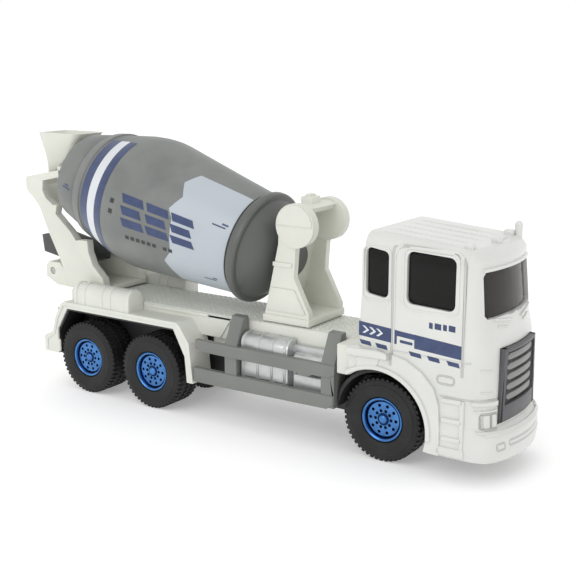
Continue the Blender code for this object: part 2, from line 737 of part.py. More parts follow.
def build_pedestal():
    base_z = DECK_TOP + SEAT
    base = block(
        "base",
        (PEDESTAL_REAR, -PEDESTAL_HALF, base_z),
        (PEDESTAL_FRONT, PEDESTAL_HALF, base_z + 1.7),
        0.3,
    )
    disc_low = PEDESTAL_DISC_Z - PEDESTAL_DISC_RADIUS
    cheek_outline = [
        (PEDESTAL_REAR + 0.3, base_z + 1.0),
        (11.3, disc_low + 0.4),
        (11.4, PEDESTAL_DISC_Z - 1.5),
        (PEDESTAL_DISC_X, PEDESTAL_DISC_Z),
        (15.9, disc_low + 0.2),
        (15.4, 35.2),
        (PEDESTAL_FRONT - 0.3, base_z + 3.0),
        (PEDESTAL_FRONT - 0.3, base_z + 1.0),
    ]
    inner_half = PEDESTAL_HALF - 0.4 - PEDESTAL_WALL
    for side in (1, -1):
        low, high = side * inner_half, side * (PEDESTAL_HALF - 0.4)
        cheek = prism("cheek", cheek_outline, low, high)
        disc = rod(
            "disc",
            (PEDESTAL_DISC_X, side * (inner_half - 0.2), PEDESTAL_DISC_Z),
            (PEDESTAL_DISC_X, side * PEDESTAL_HALF, PEDESTAL_DISC_Z),
            PEDESTAL_DISC_RADIUS,
            32,
        )
        join(base, cheek, disc)
    # Tank skin joining the discs, open towards the cab
    skin_outer = arc((PEDESTAL_DISC_X, PEDESTAL_DISC_Z), PEDESTAL_DISC_RADIUS - 0.5, 55, 225, 14)
    skin_inner = arc((PEDESTAL_DISC_X, PEDESTAL_DISC_Z), PEDESTAL_DISC_RADIUS - 1.9, 225, 55, 14)
    skin = prism("tank_skin", skin_outer + skin_inner, -PEDESTAL_HALF + 0.6, PEDESTAL_HALF - 0.6)
    filler = block("filler", (13.6, -1.8, 50.0), (16.6, 1.8, 52.4), 0.3)
    # Rear wall of the pedestal, with the round bearing hole for the drum's hub
    wall = prism(
        "rear_wall",
        [
            (PEDESTAL_REAR + 0.3, base_z + 1.0),
            (11.3, disc_low + 0.4),
            (11.6, PEDESTAL_DISC_Z - 2.0),
            (13.0, PEDESTAL_DISC_Z - 2.6),
            (12.6, disc_low + 0.4),
            (PEDESTAL_REAR + 1.9, base_z + 1.0),
        ],
        -inner_half - 0.5,
        inner_half + 0.5,
    )
    join(base, skin, filler, wall)
    hole = rod("hub_hole", on_axis(-4.0), on_axis(-15.0), HUB_RADIUS + RUNNING, 32)
    cut(base, hole)
    return part(base, "drum_pedestal", WHITE_PLASTIC)


def build_rear_support():
    base_z = DECK_TOP + SEAT
    arm = [
        (-53.6, base_z),
        (-54.2, 27.0),
        (-56.5, 32.0),
        (-59.8, 38.0),
        (-60.8, 40.2),
        (-62.8, 44.6),
        (-65.0, 46.9),
        (-67.0, 48.4),
        (SUPPORT_REAR, 49.6),
        (SUPPORT_REAR + 0.1, CUP_TOP),
        (-58.2, CUP_TOP + 1.8),
        (-55.4, CUP_TOP + 2.3),
        (-55.4, CUP_TOP + 0.6),
        (-61.2, CUP_TOP - 0.6),
        (-61.5, 48.9),
        (-60.5, 47.0),
        (-58.0, 45.4),
        (-56.6, 45.4),
        (-57.2, 43.2),
        (-52.1, 39.0),
        (-50.4, 37.0),
        (-49.0, 37.2),
        (-46.4, 37.3),
        (-46.2, 34.5),
        (-44.8, 31.2),
        (-41.5, 28.2),
        (-40.8, base_z),
    ]
    floor = block("floor", (-53.6, -ARM_HALF, base_z), (-40.8, ARM_HALF, base_z + 1.3), 0.2)
    for side in (1, -1):
        low, high = side * (ARM_HALF - ARM_WALL), side * ARM_HALF
        join(floor, prism("arm", arm, low, high))
    back = prism(
        "cup_back",
        [
            (-62.4, 43.8),
            (-65.0, 46.9),
            (SUPPORT_REAR + 0.3, 48.9),
            (SUPPORT_REAR, CUP_TOP),
            (SUPPORT_REAR + 1.5, CUP_TOP),
            (SUPPORT_REAR + 1.8, 49.6),
            (-64.2, 48.0),
            (-61.0, 44.4),
        ],
        -ARM_HALF + 0.5,
        ARM_HALF - 0.5,
    )
    bridge_half = ARM_HALF - ARM_WALL + 0.4
    bridge = block("bridge", (-57.7, -bridge_half, 51.0), (-55.4, bridge_half, 55.0), 0.3)
    join(floor, back, bridge)
    # Fork that holds the chute's pin
    for side in (1, -1):
        y0, y1 = sorted((side * (CHUTE_HINGE_HALF + SEAT), side * (ARM_HALF - 0.4)))
        ear = prism(
            "chute_ear",
            [
                (-61.9, 26.5),
                (-61.9, 29.4),
                (-60.9, 30.5),
                (-57.0, 30.5),
                (-52.5, 26.0),
                (-52.5, base_z),
                (-58.0, base_z),
            ],
            y0,
            y1,
        )
        join(floor, ear)
    x, z = CHUTE_PIVOT
    cut(
        floor,
        rod("pin_bore", (x, -12, z), (x, 12, z), CHUTE_PIN_RADIUS + SEAT / 2, 16),
        rod(
            "pivot_bore",
            on_axis(DRUM_MOUTH_AT + 1.0),
            on_axis(DRUM_MOUTH_AT + 12.0),
            PIVOT_PIN_RADIUS + SEAT / 2,
            16,
        ),
    )
    return part(floor, "rear_support", WHITE_PLASTIC)


def oblong(x0, x1, half, z, corner):
    """A rounded rectangle in plan."""
    points = []
    for cx, cy, start in (
        (x1 - corner, half - corner, 0),
        (x0 + corner, half - corner, 90),
        (x0 + corner, -half + corner, 180),
        (x1 - corner, -half + corner, 270),
    ):
        points += arc((cx, cy), corner, start, start + 90, 3)
    return [(x, y, z) for x, y in points]


def build_hopper():
    sections = (
        (52.7, -64.6, -62.2, 2.8, 0.9),
        (55.4, -64.6, -58.6, 3.0, 1.0),
        (57.2, -64.7, -56.0, 3.4, 1.2),
        (HOPPER_TOP, -65.2, -51.0, 5.3, 1.8),
    )
    hopper = loft("hopper", [oblong(x0, x1, half, z, corner) for z, x0, x1, half, corner in sections])
    wall = HOPPER_WALL
    rings = []
    for z, x0, x1, half, corner in sections:
        # The cutter runs past the hopper at its foot and its rim, so both ends are open
        past = {sections[0][0]: -0.5, HOPPER_TOP: 0.4}.get(z, 0.0)
        rings.append(oblong(x0 + wall, x1 - wall, half - wall, z + past, max(corner - wall, 0.15)))
    hollow = loft("hopper_hollow", rings)
    # Lug under the hopper's front, bored for the end of the drum's rear pin
    lug = block("hopper_lug", (-61.6, -2.4, 52.9), (-58.0, 2.4, 55.3), 0.3)
    bore_radius = PIVOT_PIN_RADIUS + SEAT / 2
    bore = rod("lug_bore", on_axis(DRUM_MOUTH_AT + 3.0), on_axis(PIN_END + SEAT), bore_radius, 16)
    join(hopper, lug)
    return part(cut(hopper, hollow, bore), "loading_hopper", WHITE_PLASTIC)


def build_chute():
    px, pz = CHUTE_PIVOT
    # Trough seen from the side, then hollowed from above
    side_view = [
        (-65.6, 32.2),
        (-66.2, 36.6),
        (-64.6, 37.0),
        (-50.2, 34.2),
        (-49.6, 33.4),
        (-50.2, 30.6),
        (-52.0, 30.0),
    ]
    chute = prism("chute", side_view, -CHUTE_HALF, CHUTE_HALF)
    hollow_view = [(-70.0, 33.6), (-70.0, 42.0), (-45.0, 40.0), (-45.0, 30.7), (-51.5, 31.2), (-65.0, 33.5)]
    hollow = prism("chute_hollow", hollow_view, -CHUTE_HALF + CHUTE_WALL, CHUTE_HALF - CHUTE_WALL)
    lug = prism(
        "chute_lug",
        [
            (px - 1.6, pz - 0.2),
            (px - 2.6, pz + 3.8),
            (px + 3.2, pz + 3.2),
            (px + 1.6, pz - 0.2),
            (px, pz - 1.7),
        ],
        -CHUTE_HINGE_HALF,
        CHUTE_HINGE_HALF,
    )
    cut(chute, hollow)
    join(chute, lug)
    cut(chute, rod("chute_bore", (px, -8, pz), (px, 8, pz), CHUTE_PIN_RADIUS + RUNNING, 16))
    hang_on(part(chute, "discharge_chute", GREY_PLASTIC), "chute_pivot", (px, 0, pz))
    pin_half = ARM_HALF - 0.6
    part(rod("pin", (px, -pin_half, pz), (px, pin_half, pz), CHUTE_PIN_RADIUS, 16), "chute_pin", STEEL)


# ---------------------------------------------------------------- side guards and tanks


def build_side(side, suffix):
    def y_range(inner, outer):
        return sorted((side * inner, side * outer))

    rear, front, low, high = UPPER_RAIL
    y0, y1 = y_range(GUARD_FACE - GUARD_DEPTH, GUARD_FACE)
    guard = prism(
        "guard",
        [
            (rear, low + 0.6),
            (rear, high),
            (front, high),
            (front, low + 0.8),
            (front - 1.2, low),
            (24.0, low - 0.15),
            (23.2, low - 0.7),
            (20.8, low - 0.7),
            (20.0, low - 0.15),
            (rear + 2.6, low),
        ],
        y0,
        y1,
    )
    rear, front, low, high = LOWER_RAIL
    lower = prism(
        "lower_rail",
        [(rear, low), (rear, high), (front, high), (front, low + 1.6), (front - 1.6, low + 0.4), (0.0, low)],
        y0,
        y1,
    )
    join(guard, lower)
    for x in (REAR_POST_X, FRONT_POST_X):
        inner = DECK_HALF + SEAT
        outline = [
            (side * (GUARD_FACE - 0.3), LOWER_RAIL[2] + 0.6),
            (side * (GUARD_FACE - 0.3), UPPER_RAIL[3] - 0.2),
            (side * (inner + 1.9), DECK_TOP + 1.0),
            (side * (inner + 0.2), DECK_TOP + 1.2),
            (side * inner, DECK_TOP + 0.4),
            (side * inner, 15.8),
            (side * (GUARD_FACE - 2.6), 13.5),
            (side * (GUARD_FACE - 2.6), LOWER_RAIL[2] + 0.6),
        ]
        join(guard, prism("post", outline, x, x + POST_WIDTH, "X"))
    part(guard, "side_guard_" + suffix, GUARD_GREY)

    # Fuel tank with the small air reservoir in front of it, one moulding
    inner = DECK_HALF + SEAT
    outer = GUARD_FACE - GUARD_DEPTH - SEAT
    flat = [(side * inner, TANK_LOW), (side * outer, TANK_LOW + 1.0)]
    centre = (outer - TANK_RADIUS, TANK_TOP - TANK_RADIUS)
    round_top = [(side * y, z) for y, z in arc(centre, TANK_RADIUS, 0, 90, 6)]
    tank_start = REAR_POST_X + POST_WIDTH + SEAT
    tank = prism("tank", flat + round_top + [(side * inner, TANK_TOP)], tank_start, TANK_FRONT, "X")
    neck = block(
        "tank_neck",
        (TANK_FRONT - 1.0, y_range(inner, inner + 1.2)[0], TANK_LOW + 1.0),
        (FRONT_POST_X - SEAT, y_range(inner, inner + 1.2)[1], TANK_TOP - 1.2),
    )
    reservoir = rod(
        "reservoir",
        (TANK_FRONT + 1.4, side * (inner + 1.8), 18.2),
        (FRONT_POST_X - SEAT - 0.6, side * (inner + 1.8), 18.2),
        1.6,
        20,
    )
    battery_y = y_range(inner, outer - 0.4)
    battery = block(
        "battery_box",
        (TANK_FRONT + 1.2, battery_y[0], TANK_LOW),
        (FRONT_POST_X - SEAT - 0.4, battery_y[1], TANK_LOW + 3.6),
        0.3,
    )
    join(tank, neck, reservoir, battery)
    part(tank, "fuel_tank_" + suffix, SILVER)


# ---------------------------------------------------------------- assembly

clear_scene()
bpy.context.scene.collection.children.link(LORRY)
bpy.context.scene.collection.children.link(CUTTERS)

WHITE_PAINT = material("white_paint", (0.74, 0.75, 0.72), 0.28)
WHITE_PLASTIC = material("white_plastic", (0.72, 0.73, 0.66), 0.4)
GREY_PLASTIC = material("grey_plastic", (0.24, 0.25, 0.245), 0.5)
GUARD_GREY = material("guard_grey", (0.17, 0.17, 0.16), 0.5)
CHASSIS_BLACK = material("chassis_black", (0.02, 0.02, 0.022), 0.5)
RUBBER = material("tyre_black", (0.02, 0.02, 0.02), 0.75)
RIM_BLUE = material("rim_blue", (0.02, 0.12, 0.4), 0.25, 0.8)
SILVER = material("silver_plating", (0.6, 0.6, 0.58), 0.25, 0.6)
STEEL = material("steel", (0.5, 0.5, 0.5), 0.3, 1.0)
SMOKED = material("smoked_glazing", (0.05, 0.05, 0.05), 0.1)
INTERIOR_TAN = material("interior_tan", (0.12, 0.09, 0.07), 0.6)

build_chassis()
build_screws()
build_deck()
build_cab()
build_cab_glass()
build_cab_interior()
build_grille()
build_drum()
build_pedestal()
build_rear_support()
build_hopper()
build_chute()
mirrored(build_side)
for position, axle_x, face, width in (
    ("front", FRONT_AXLE_X, FRONT_TRACK_HALF, FRONT_TYRE_WIDTH),
    ("mid", MID_AXLE_X, REAR_TRACK_HALF, REAR_TYRE_WIDTH),
    ("rear", REAR_AXLE_X, REAR_TRACK_HALF, REAR_TYRE_WIDTH),
):
    build_axle_set(position, axle_x, face, width)
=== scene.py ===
import math

import bmesh
import bpy
from mathutils import Matrix, Vector
from mathutils.bvhtree import BVHTree


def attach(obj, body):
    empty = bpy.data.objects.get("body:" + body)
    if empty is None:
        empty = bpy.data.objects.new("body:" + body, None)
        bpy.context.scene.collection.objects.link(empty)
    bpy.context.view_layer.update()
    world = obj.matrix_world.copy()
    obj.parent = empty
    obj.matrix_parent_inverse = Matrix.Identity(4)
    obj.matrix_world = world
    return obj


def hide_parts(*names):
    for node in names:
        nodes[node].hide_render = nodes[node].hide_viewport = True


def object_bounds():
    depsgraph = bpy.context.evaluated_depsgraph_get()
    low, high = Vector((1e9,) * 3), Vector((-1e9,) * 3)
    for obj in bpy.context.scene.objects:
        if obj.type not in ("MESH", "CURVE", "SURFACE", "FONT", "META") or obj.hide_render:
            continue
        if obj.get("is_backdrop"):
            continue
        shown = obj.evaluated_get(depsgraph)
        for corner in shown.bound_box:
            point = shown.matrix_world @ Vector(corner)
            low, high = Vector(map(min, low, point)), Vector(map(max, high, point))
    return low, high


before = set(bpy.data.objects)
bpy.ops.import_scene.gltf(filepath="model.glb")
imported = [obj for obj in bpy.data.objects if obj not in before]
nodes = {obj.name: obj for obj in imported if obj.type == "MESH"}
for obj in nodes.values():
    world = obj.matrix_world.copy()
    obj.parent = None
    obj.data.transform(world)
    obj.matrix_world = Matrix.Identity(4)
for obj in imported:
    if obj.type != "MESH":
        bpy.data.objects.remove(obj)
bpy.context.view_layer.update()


# ---------------------------------------------------------------- base plate
# The chassis is one black moulding that carries the axles, with the arch liner over the front
# wheels. Two steel screws hold it up against the white body. The moulding is matt and faintly
# grained, with a soft change of tone.

MM = 0.001
SIDES = ((1, "left"), (-1, "right"))  # the sign of Y, and the word in the names


class Signal:
    """A socket of a material, in sums: each operator adds the Math node that works it out."""

    def __init__(self, finish, socket):
        self.finish = finish
        self.socket = socket

    def sum(self, operation, *others):
        return self.finish.node("ShaderNodeMath", {"operation": operation}, self, *others)

    def __add__(self, other):
        return self.sum("ADD", other)

    __radd__ = __add__

    def __mul__(self, other):
        return self.sum("MULTIPLY", other)

    __rmul__ = __mul__

    def __sub__(self, other):
        return self.sum("SUBTRACT", other)

    def __rsub__(self, other):
        return (self * -1.0) + other

    def __truediv__(self, other):
        return self.sum("DIVIDE", other)

    def __neg__(self):
        return self * -1.0

    def __gt__(self, other):
        return self.sum("GREATER_THAN", other)

    def __lt__(self, other):
        return self.sum("LESS_THAN", other)

    def __abs__(self):
        return self.sum("ABSOLUTE")

    def step(self, start, end):
        """0 before start and 1 after end, smooth between."""
        settings = {"interpolation_type": "SMOOTHSTEP"}
        return self.finish.node("ShaderNodeMapRange", settings, self, start, end, 0.0, 1.0)

    def line(self, at, width):
        """1 within half a width of a value and 0 away from it, with soft edges."""
        return 1.0 - abs(self - at).step(width * 0.35, width * 0.65)


class Finish:
    """A material under construction: a Principled shader and the nodes that feed it."""

    def __init__(self, name, **sockets):
        self.material = bpy.data.materials.new(name)
        self.material.use_nodes = True
        self.tree = self.material.node_tree
        self.shader = self.tree.nodes["Principled BSDF"]
        self.coordinates = None
        for socket, value in sockets.items():
            self.feed(socket.replace("_", " ").title().replace("Ior", "IOR"), value)

    def node(self, kind, settings, *values, output=0):
        made = self.tree.nodes.new(kind)
        for setting, value in settings.items():
            setattr(made, setting, value)
        places = [socket for socket in made.inputs if socket.enabled]
        for place, value in zip(places, values):
            if isinstance(value, Signal):
                self.tree.links.new(value.socket, place)
            elif value is not None:
                place.default_value = value
        outputs = [socket for socket in made.outputs if socket.enabled]
        return Signal(self, outputs[output])

    def feed(self, socket, value):
        place = self.shader.inputs[socket]
        if isinstance(value, Signal):
            self.tree.links.new(value.socket, place)
        elif isinstance(value, (tuple, list)):
            place.default_value = (*value, 1.0)[: len(place.default_value)]
        else:
            place.default_value = value

    def place(self):
        """X, Y and Z on the object in millimetres."""
        point = self.node("ShaderNodeTexCoord", {}, output=3)
        self.coordinates = point
        parts = [self.node("ShaderNodeSeparateXYZ", {}, point, output=i) for i in range(3)]
        return [part * 1000.0 for part in parts]

    def noise(self, size, detail=3.0, rough=0.5):
        """Noise whose blobs are about size millimetres across."""
        if self.coordinates is None:
            self.place()
        return self.node("ShaderNodeTexNoise", {}, self.coordinates, 1000.0 / size, detail, rough)

    def mix(self, share, first, second):
        first = first if isinstance(first, Signal) else (*first, 1.0)
        second = second if isinstance(second, Signal) else (*second, 1.0)
        return self.node("ShaderNodeMix", {"data_type": "RGBA"}, share, first, second)

    def bump(self, height, depth):
        """Feeds the Normal from a height of 0 to 1 that stands depth millimetres."""
        self.feed("Normal", self.node("ShaderNodeBump", {}, 1.0, depth * MM, None, height))


def srgb(red, green, blue):
    """A colour as 0 to 255 on a screen, made linear."""
    shares = (red / 255, green / 255, blue / 255)
    return tuple(((v + 0.055) / 1.055) ** 2.4 if v > 10 / 255 else v / 12.92 for v in shares)


def moulded(name, colour, roughness, size=0.35, depth=0.012, shade=0.08, coat=0.0):
    """Moulded plastic: a faint grain, a soft change of tone across the piece and uneven gloss."""
    finish = Finish(name)
    broad = finish.noise(14.0, 2.0)
    grain = finish.noise(size, 4.0, 0.6)
    darker = tuple(value * (1.0 - 2.0 * shade) for value in colour)
    finish.feed("Base Color", finish.mix(broad.step(0.3, 0.75), darker, colour))
    finish.feed("Roughness", grain * 0.16 + broad * 0.08 + (roughness - 0.12))
    finish.feed("Coat Weight", coat)
    finish.bump(grain, depth)
    return finish


def paint(node, finish):
    """Gives a CAD node a finish."""
    data = nodes[node].data
    data.materials.clear()
    data.materials.append(finish.material)


def as_mesh(name, shape):
    mesh = bpy.data.meshes.new(name)
    shape.to_mesh(mesh)
    shape.free()
    return mesh


def placed(name, data):
    made = bpy.data.objects.new(name, data)
    bpy.context.scene.collection.objects.link(made)
    return made


def skin(node, body, finish, edge=0.18, angle=28, segments=2):
    """A copy of a CAD node with its triangles merged and its edges rounded, shown in the node's place."""
    shape = bmesh.new()
    shape.from_mesh(nodes[node].data)
    bmesh.ops.remove_doubles(shape, verts=shape.verts, dist=1e-6)
    bmesh.ops.dissolve_limit(shape, angle_limit=math.radians(0.6), verts=shape.verts, edges=shape.edges)
    mesh = as_mesh(node + "_skin", shape)
    mesh.materials.clear()
    mesh.materials.append(finish.material)
    mesh.shade_smooth()
    made = placed(node + "_skin", mesh)
    bevel = made.modifiers.new("edges", "BEVEL")
    bevel.width = edge * MM
    bevel.segments = segments
    bevel.limit_method = "ANGLE"
    bevel.angle_limit = math.radians(angle)
    bevel.harden_normals = True
    bevel.use_clamp_overlap = True
    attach(made, body)
    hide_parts(node)
    return made


chassis_black = moulded("chassis_black", srgb(38, 38, 39), 0.5)
skin("chassis", "truck", chassis_black, 0.2)

steel = Finish("bright_steel", metallic=1.0)
along = steel.noise(0.5, 4.0)
steel.feed("Base Color", steel.mix(along, srgb(150, 150, 150), srgb(196, 195, 192)))
steel.feed("Roughness", along * 0.2 + 0.22)
steel.bump(along, 0.008)
for node in ("base_screw_1", "base_screw_2", "front_axle", "mid_axle", "rear_axle"):
    paint(node, steel)
for node in ("drum_rear_pin", "chute_pin"):
    paint(node, steel)


# ---------------------------------------------------------------- tyres
# Six hollow tyres of matt black vinyl, pushed over the rims. The smooth sidewall carries a raised
# ring near the tread, and the tread has deep lugs at each shoulder and a zigzag of blocks between.

TYRE_RADIUS = 9.0
AXLE_HEIGHT = TYRE_RADIUS
WHEELS = (
    # body, axle X, outer face, tyre width
    ("front", 40.0, 11.5, 5.5),
    ("mid", -21.75, 13.2, 8.0),
    ("rear", -42.6, 13.2, 8.0),
)


def settle(shape):
    """Turns the faces of a closed shape outwards."""
    bmesh.ops.recalc_face_normals(shape, faces=shape.faces)
    if shape.calc_volume(signed=True) < 0:
        bmesh.ops.reverse_faces(shape, faces=shape.faces)


def turned(shape, rings, sides):
    """Faces from each ring of corners to the next. A ring of one corner ends the shape on its axis."""
    pairs = list(zip(rings, rings[1:]))
    if len(rings[0]) > 1 and len(rings[-1]) > 1:
        pairs.append((rings[-1], rings[0]))
    for first, second in pairs:
        for i in range(sides):
            j = (i + 1) % sides
            corners = [first[i % len(first)], first[j % len(first)]]
            corners += [second[j % len(second)], second[i % len(second)]]
            shape.faces.new(list(dict.fromkeys(corners)))
    settle(shape)
    return shape


def spun(profile, sides):
    """A closed ring of (radius, across) points turned about Y, as a bmesh with outward faces."""
    shape = bmesh.new()
    rings = []
    for radius, across in profile:
        if radius == 0:
            rings.append([shape.verts.new((0, across * MM, 0))])
            continue
        ring = []
        for i in range(sides):
            angle = 2 * math.pi * i / sides
            x, z = radius * math.cos(angle) * MM, radius * math.sin(angle) * MM
            ring.append(shape.verts.new((x, across * MM, z)))
        rings.append(ring)
    return turned(shape, rings, sides)


def shown(name, shape, finish, smooth=40):
    """A bmesh or mesh as an object in the scene with a finish."""
    mesh = as_mesh(name, shape) if isinstance(shape, bmesh.types.BMesh) else shape
    if finish is not None:
        mesh.materials.clear()
        mesh.materials.append(finish.material)
    mesh.shade_smooth()
    mesh.set_sharp_from_angle(angle=math.radians(smooth))
    return placed(name, mesh)


def box_shape(low, high, edge=0.0, segments=2):
    low, high = Vector(low) * MM, Vector(high) * MM
    shape = bmesh.new()
    bmesh.ops.create_cube(shape, size=1.0)
    bmesh.ops.scale(shape, vec=high - low, verts=shape.verts)
    bmesh.ops.translate(shape, vec=(low + high) / 2, verts=shape.verts)
    if edge:
        settings = {"segments": segments, "profile": 0.5, "affect": "EDGES"}
        bmesh.ops.bevel(shape, geom=shape.edges[:], offset=edge * MM, **settings)
    return shape


def repeat_tree(name, ring):
    """Copies of one block, in a ring about Y or in rows and columns in the XY plane."""
    tree = bpy.data.node_groups.new(name, "GeometryNodeTree")
    tree.interface.new_socket("Geometry", in_out="INPUT", socket_type="NodeSocketGeometry")
    tree.interface.new_socket("Geometry", in_out="OUTPUT", socket_type="NodeSocketGeometry")
    if ring:
        wanted = (("Count", "NodeSocketInt"), ("Radius", "NodeSocketFloat"), ("Across", "NodeSocketFloat"))
    else:
        wanted = (
            ("Count X", "NodeSocketInt"),
            ("Count Y", "NodeSocketInt"),
            ("Length", "NodeSocketFloat"),
            ("Width", "NodeSocketFloat"),
        )
    shared = (("Place", "NodeSocketVector"), ("Turn", "NodeSocketFloat"), ("Finish", "NodeSocketMaterial"))
    for title, kind in wanted + shared:
        tree.interface.new_socket(title, in_out="INPUT", socket_type=kind)
    new = tree.nodes.new

    def wire(source, output, target, socket):
        tree.links.new(source.outputs[output], target.inputs[socket])

    given, out = new("NodeGroupInput"), new("NodeGroupOutput")
    instance = new("GeometryNodeInstanceOnPoints")
    realize, finish = new("GeometryNodeRealizeInstances"), new("GeometryNodeSetMaterial")
    move = new("GeometryNodeTransform")
    turn = new("ShaderNodeCombineXYZ")
    if ring:
        circle = new("GeometryNodeMeshCircle")
        wire(given, "Count", circle, "Vertices")
        wire(given, "Radius", circle, "Radius")
        # The ring is laid out about Z and then stood up so that it runs about Y
        stand = new("GeometryNodeTransform")
        stand.inputs["Rotation"].default_value = (math.pi / 2, 0, 0)
        wire(circle, "Mesh", stand, "Geometry")
        align = new("FunctionNodeAlignRotationToVector")
        align.axis = "X"
        align.pivot_axis = "Y"
        where = new("GeometryNodeInputPosition")
        wire(where, 0, align, "Vector")
        wire(stand, "Geometry", instance, "Points")
        spin = new("FunctionNodeRotateRotation")
        spin.rotation_space = "LOCAL"
        wire(given, "Turn", turn, "X")
        wire(align, "Rotation", spin, "Rotation")
        wire(turn, "Vector", spin, "Rotate By")
        wire(spin, "Rotation", instance, "Rotation")
        shift = new("ShaderNodeCombineXYZ")
        wire(given, "Across", shift, "Y")
        add = new("ShaderNodeVectorMath")
        wire(shift, "Vector", add, 0)
        wire(given, "Place", add, 1)
        wire(add, "Vector", move, "Translation")
    else:
        grid = new("GeometryNodeMeshGrid")
        wire(given, "Length", grid, "Size X")
        wire(given, "Width", grid, "Size Y")
        wire(given, "Count X", grid, "Vertices X")
        wire(given, "Count Y", grid, "Vertices Y")
        wire(grid, "Mesh", instance, "Points")
        wire(given, "Turn", turn, "Z")
        wire(turn, "Vector", instance, "Rotation")
        wire(given, "Place", move, "Translation")
    wire(given, "Geometry", instance, "Instance")
    wire(instance, "Instances", move, "Geometry")
    wire(move, "Geometry", realize, "Geometry")
    wire(realize, "Geometry", finish, "Geometry")
    wire(given, "Finish", finish, "Material")
    wire(finish, "Geometry", out, "Geometry")
    return tree


ring_of_blocks = repeat_tree("ring_of_blocks", True)
rows_of_blocks = repeat_tree("rows_of_blocks", False)


def repeated(tree, block, finish, **sizes):
    """The plain mesh of a block repeated by a tree. The block is a bmesh about the origin."""
    made = shown("block", block, finish)
    modifier = made.modifiers.new("repeat", "NODES")
    modifier.node_group = tree
    for item in tree.interface.items_tree:
        if item.in_out == "INPUT" and item.name in sizes:
            modifier[item.identifier] = sizes[item.name]
        elif item.in_out == "INPUT" and item.name == "Finish":
            modifier[item.identifier] = finish.material
    bpy.context.view_layer.update()
    graph = bpy.context.evaluated_depsgraph_get()
    mesh = bpy.data.meshes.new_from_object(made.evaluated_get(graph))
    bpy.data.objects.remove(made, do_unlink=True)
    return mesh


def gathered(name, meshes, finish, smooth=40):
    """Several shapes as one object."""
    whole = bmesh.new()
    for mesh in meshes:
        whole.from_mesh(as_mesh("part", mesh) if isinstance(mesh, bmesh.types.BMesh) else mesh)
    return shown(name, whole, finish, smooth)


tyre_rubber = Finish("tyre_rubber", specular_ior_level=0.35)
dust = tyre_rubber.noise(5.0, 3.0)
fine = tyre_rubber.noise(0.22, 3.0)
tyre_rubber.feed("Base Color", tyre_rubber.mix(dust.step(0.35, 0.8), srgb(27, 27, 28), srgb(37, 37, 37)))
tyre_rubber.feed("Roughness", fine * 0.2 + 0.46)
tyre_rubber.bump(fine, 0.01)


def tyre_mesh(width):
    """A tyre about Y with its outer face at 0 and its tread inwards of it."""
    crown = TYRE_RADIUS - 0.3
    side = [
        (4.8, -0.75), (4.95, -0.35), (5.3, -0.12), (6.2, 0.0), (7.2, -0.02), (7.32, 0.0),
        (7.45, -0.02), (7.55, -0.12), (8.25, -0.24), (8.55, -0.42), (crown, -0.75),
    ]
    carcass = spun(side + [(radius, -width - across) for radius, across in reversed(side)], 96)
    lug = box_shape((-0.55, -0.6, -0.34), (0.24, 0.6, 0.34), 0.06, 1)
    turns = []
    for across, turn in ((-0.95, 0.12), (-width + 0.95, -0.12)):
        sizes = {"Count": 48, "Radius": crown * MM, "Across": across * MM, "Turn": turn}
        turns.append(repeated(ring_of_blocks, lug.copy(), tyre_rubber, **sizes))
    rows = 2 if width < 6 else 3
    for row in range(rows):
        across = -width * (row + 1.0) / (rows + 1.0)
        block = box_shape((-0.45, -0.5, -0.34), (0.26, 0.5, 0.34), 0.06, 1)
        lean = 0.5 if row % 2 else -0.5
        sizes = {"Count": 44, "Radius": crown * MM, "Across": across * MM, "Turn": lean}
        turns.append(repeated(ring_of_blocks, block, tyre_rubber, **sizes))
    lug.free()
    whole = bmesh.new()
    for mesh in [as_mesh("carcass", carcass)] + turns:
        whole.from_mesh(mesh)
    return as_mesh("tyre", whole)


def on_wheel(mesh, name, axle_x, face, side, finish):
    """A copy of a wheel shape stood on its axle, turned to face out on its side of the truck."""
    copy = mesh.copy()
    turn = Matrix.Identity(4) if side > 0 else Matrix.Rotation(math.pi, 4, "Z")
    copy.transform(Matrix.Translation(Vector((axle_x, side * face, AXLE_HEIGHT)) * MM) @ turn)
    return shown(name, copy, finish, 35)


for position, axle_x, face, width in WHEELS:
    mesh = tyre_mesh(width)
    for side, word in SIDES:
        tyre = on_wheel(mesh, "tread_" + position + "_" + word, axle_x, face, side, tyre_rubber)
        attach(tyre, position + "_wheels")
        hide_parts("tyre_" + position + "_" + word)


# ---------------------------------------------------------------- wheel centres
# Each wheel centre is moulded and vacuum plated in bright metallic blue: a rolled lip, a groove,
# a flat disc with ten round holes, and ten nut pockets round a domed hub cap. The groove and the
# hub recess get a darker blue, and the holes and pockets near black, as painted shade.

wheel_blue = Finish("wheel_blue", metallic=0.85, coat_weight=0.5)
flow = wheel_blue.noise(2.0, 2.0)
wheel_blue.feed("Base Color", wheel_blue.mix(flow, srgb(38, 88, 150), srgb(76, 140, 208)))
wheel_blue.feed("Roughness", flow * 0.12 + 0.2)
wheel_blue.feed("Coat Roughness", 0.1)
wheel_blue.bump(wheel_blue.noise(0.6, 2.0), 0.006)

# Near black for the walls of the round holes and nut pockets: painted shade, not the plating's colour.
pocket_painted_shade = moulded("pocket_painted_shade", srgb(9, 16, 34), 0.5)
# A darker blue for the groove and the hub recess: painted shade.
rim_painted_shade = Finish("rim_painted_shade", metallic=0.8, roughness=0.35)
rim_painted_shade.feed("Base Color", rim_painted_shade.mix(rim_painted_shade.noise(2.0), srgb(14, 36, 74), srgb(22, 56, 108)))


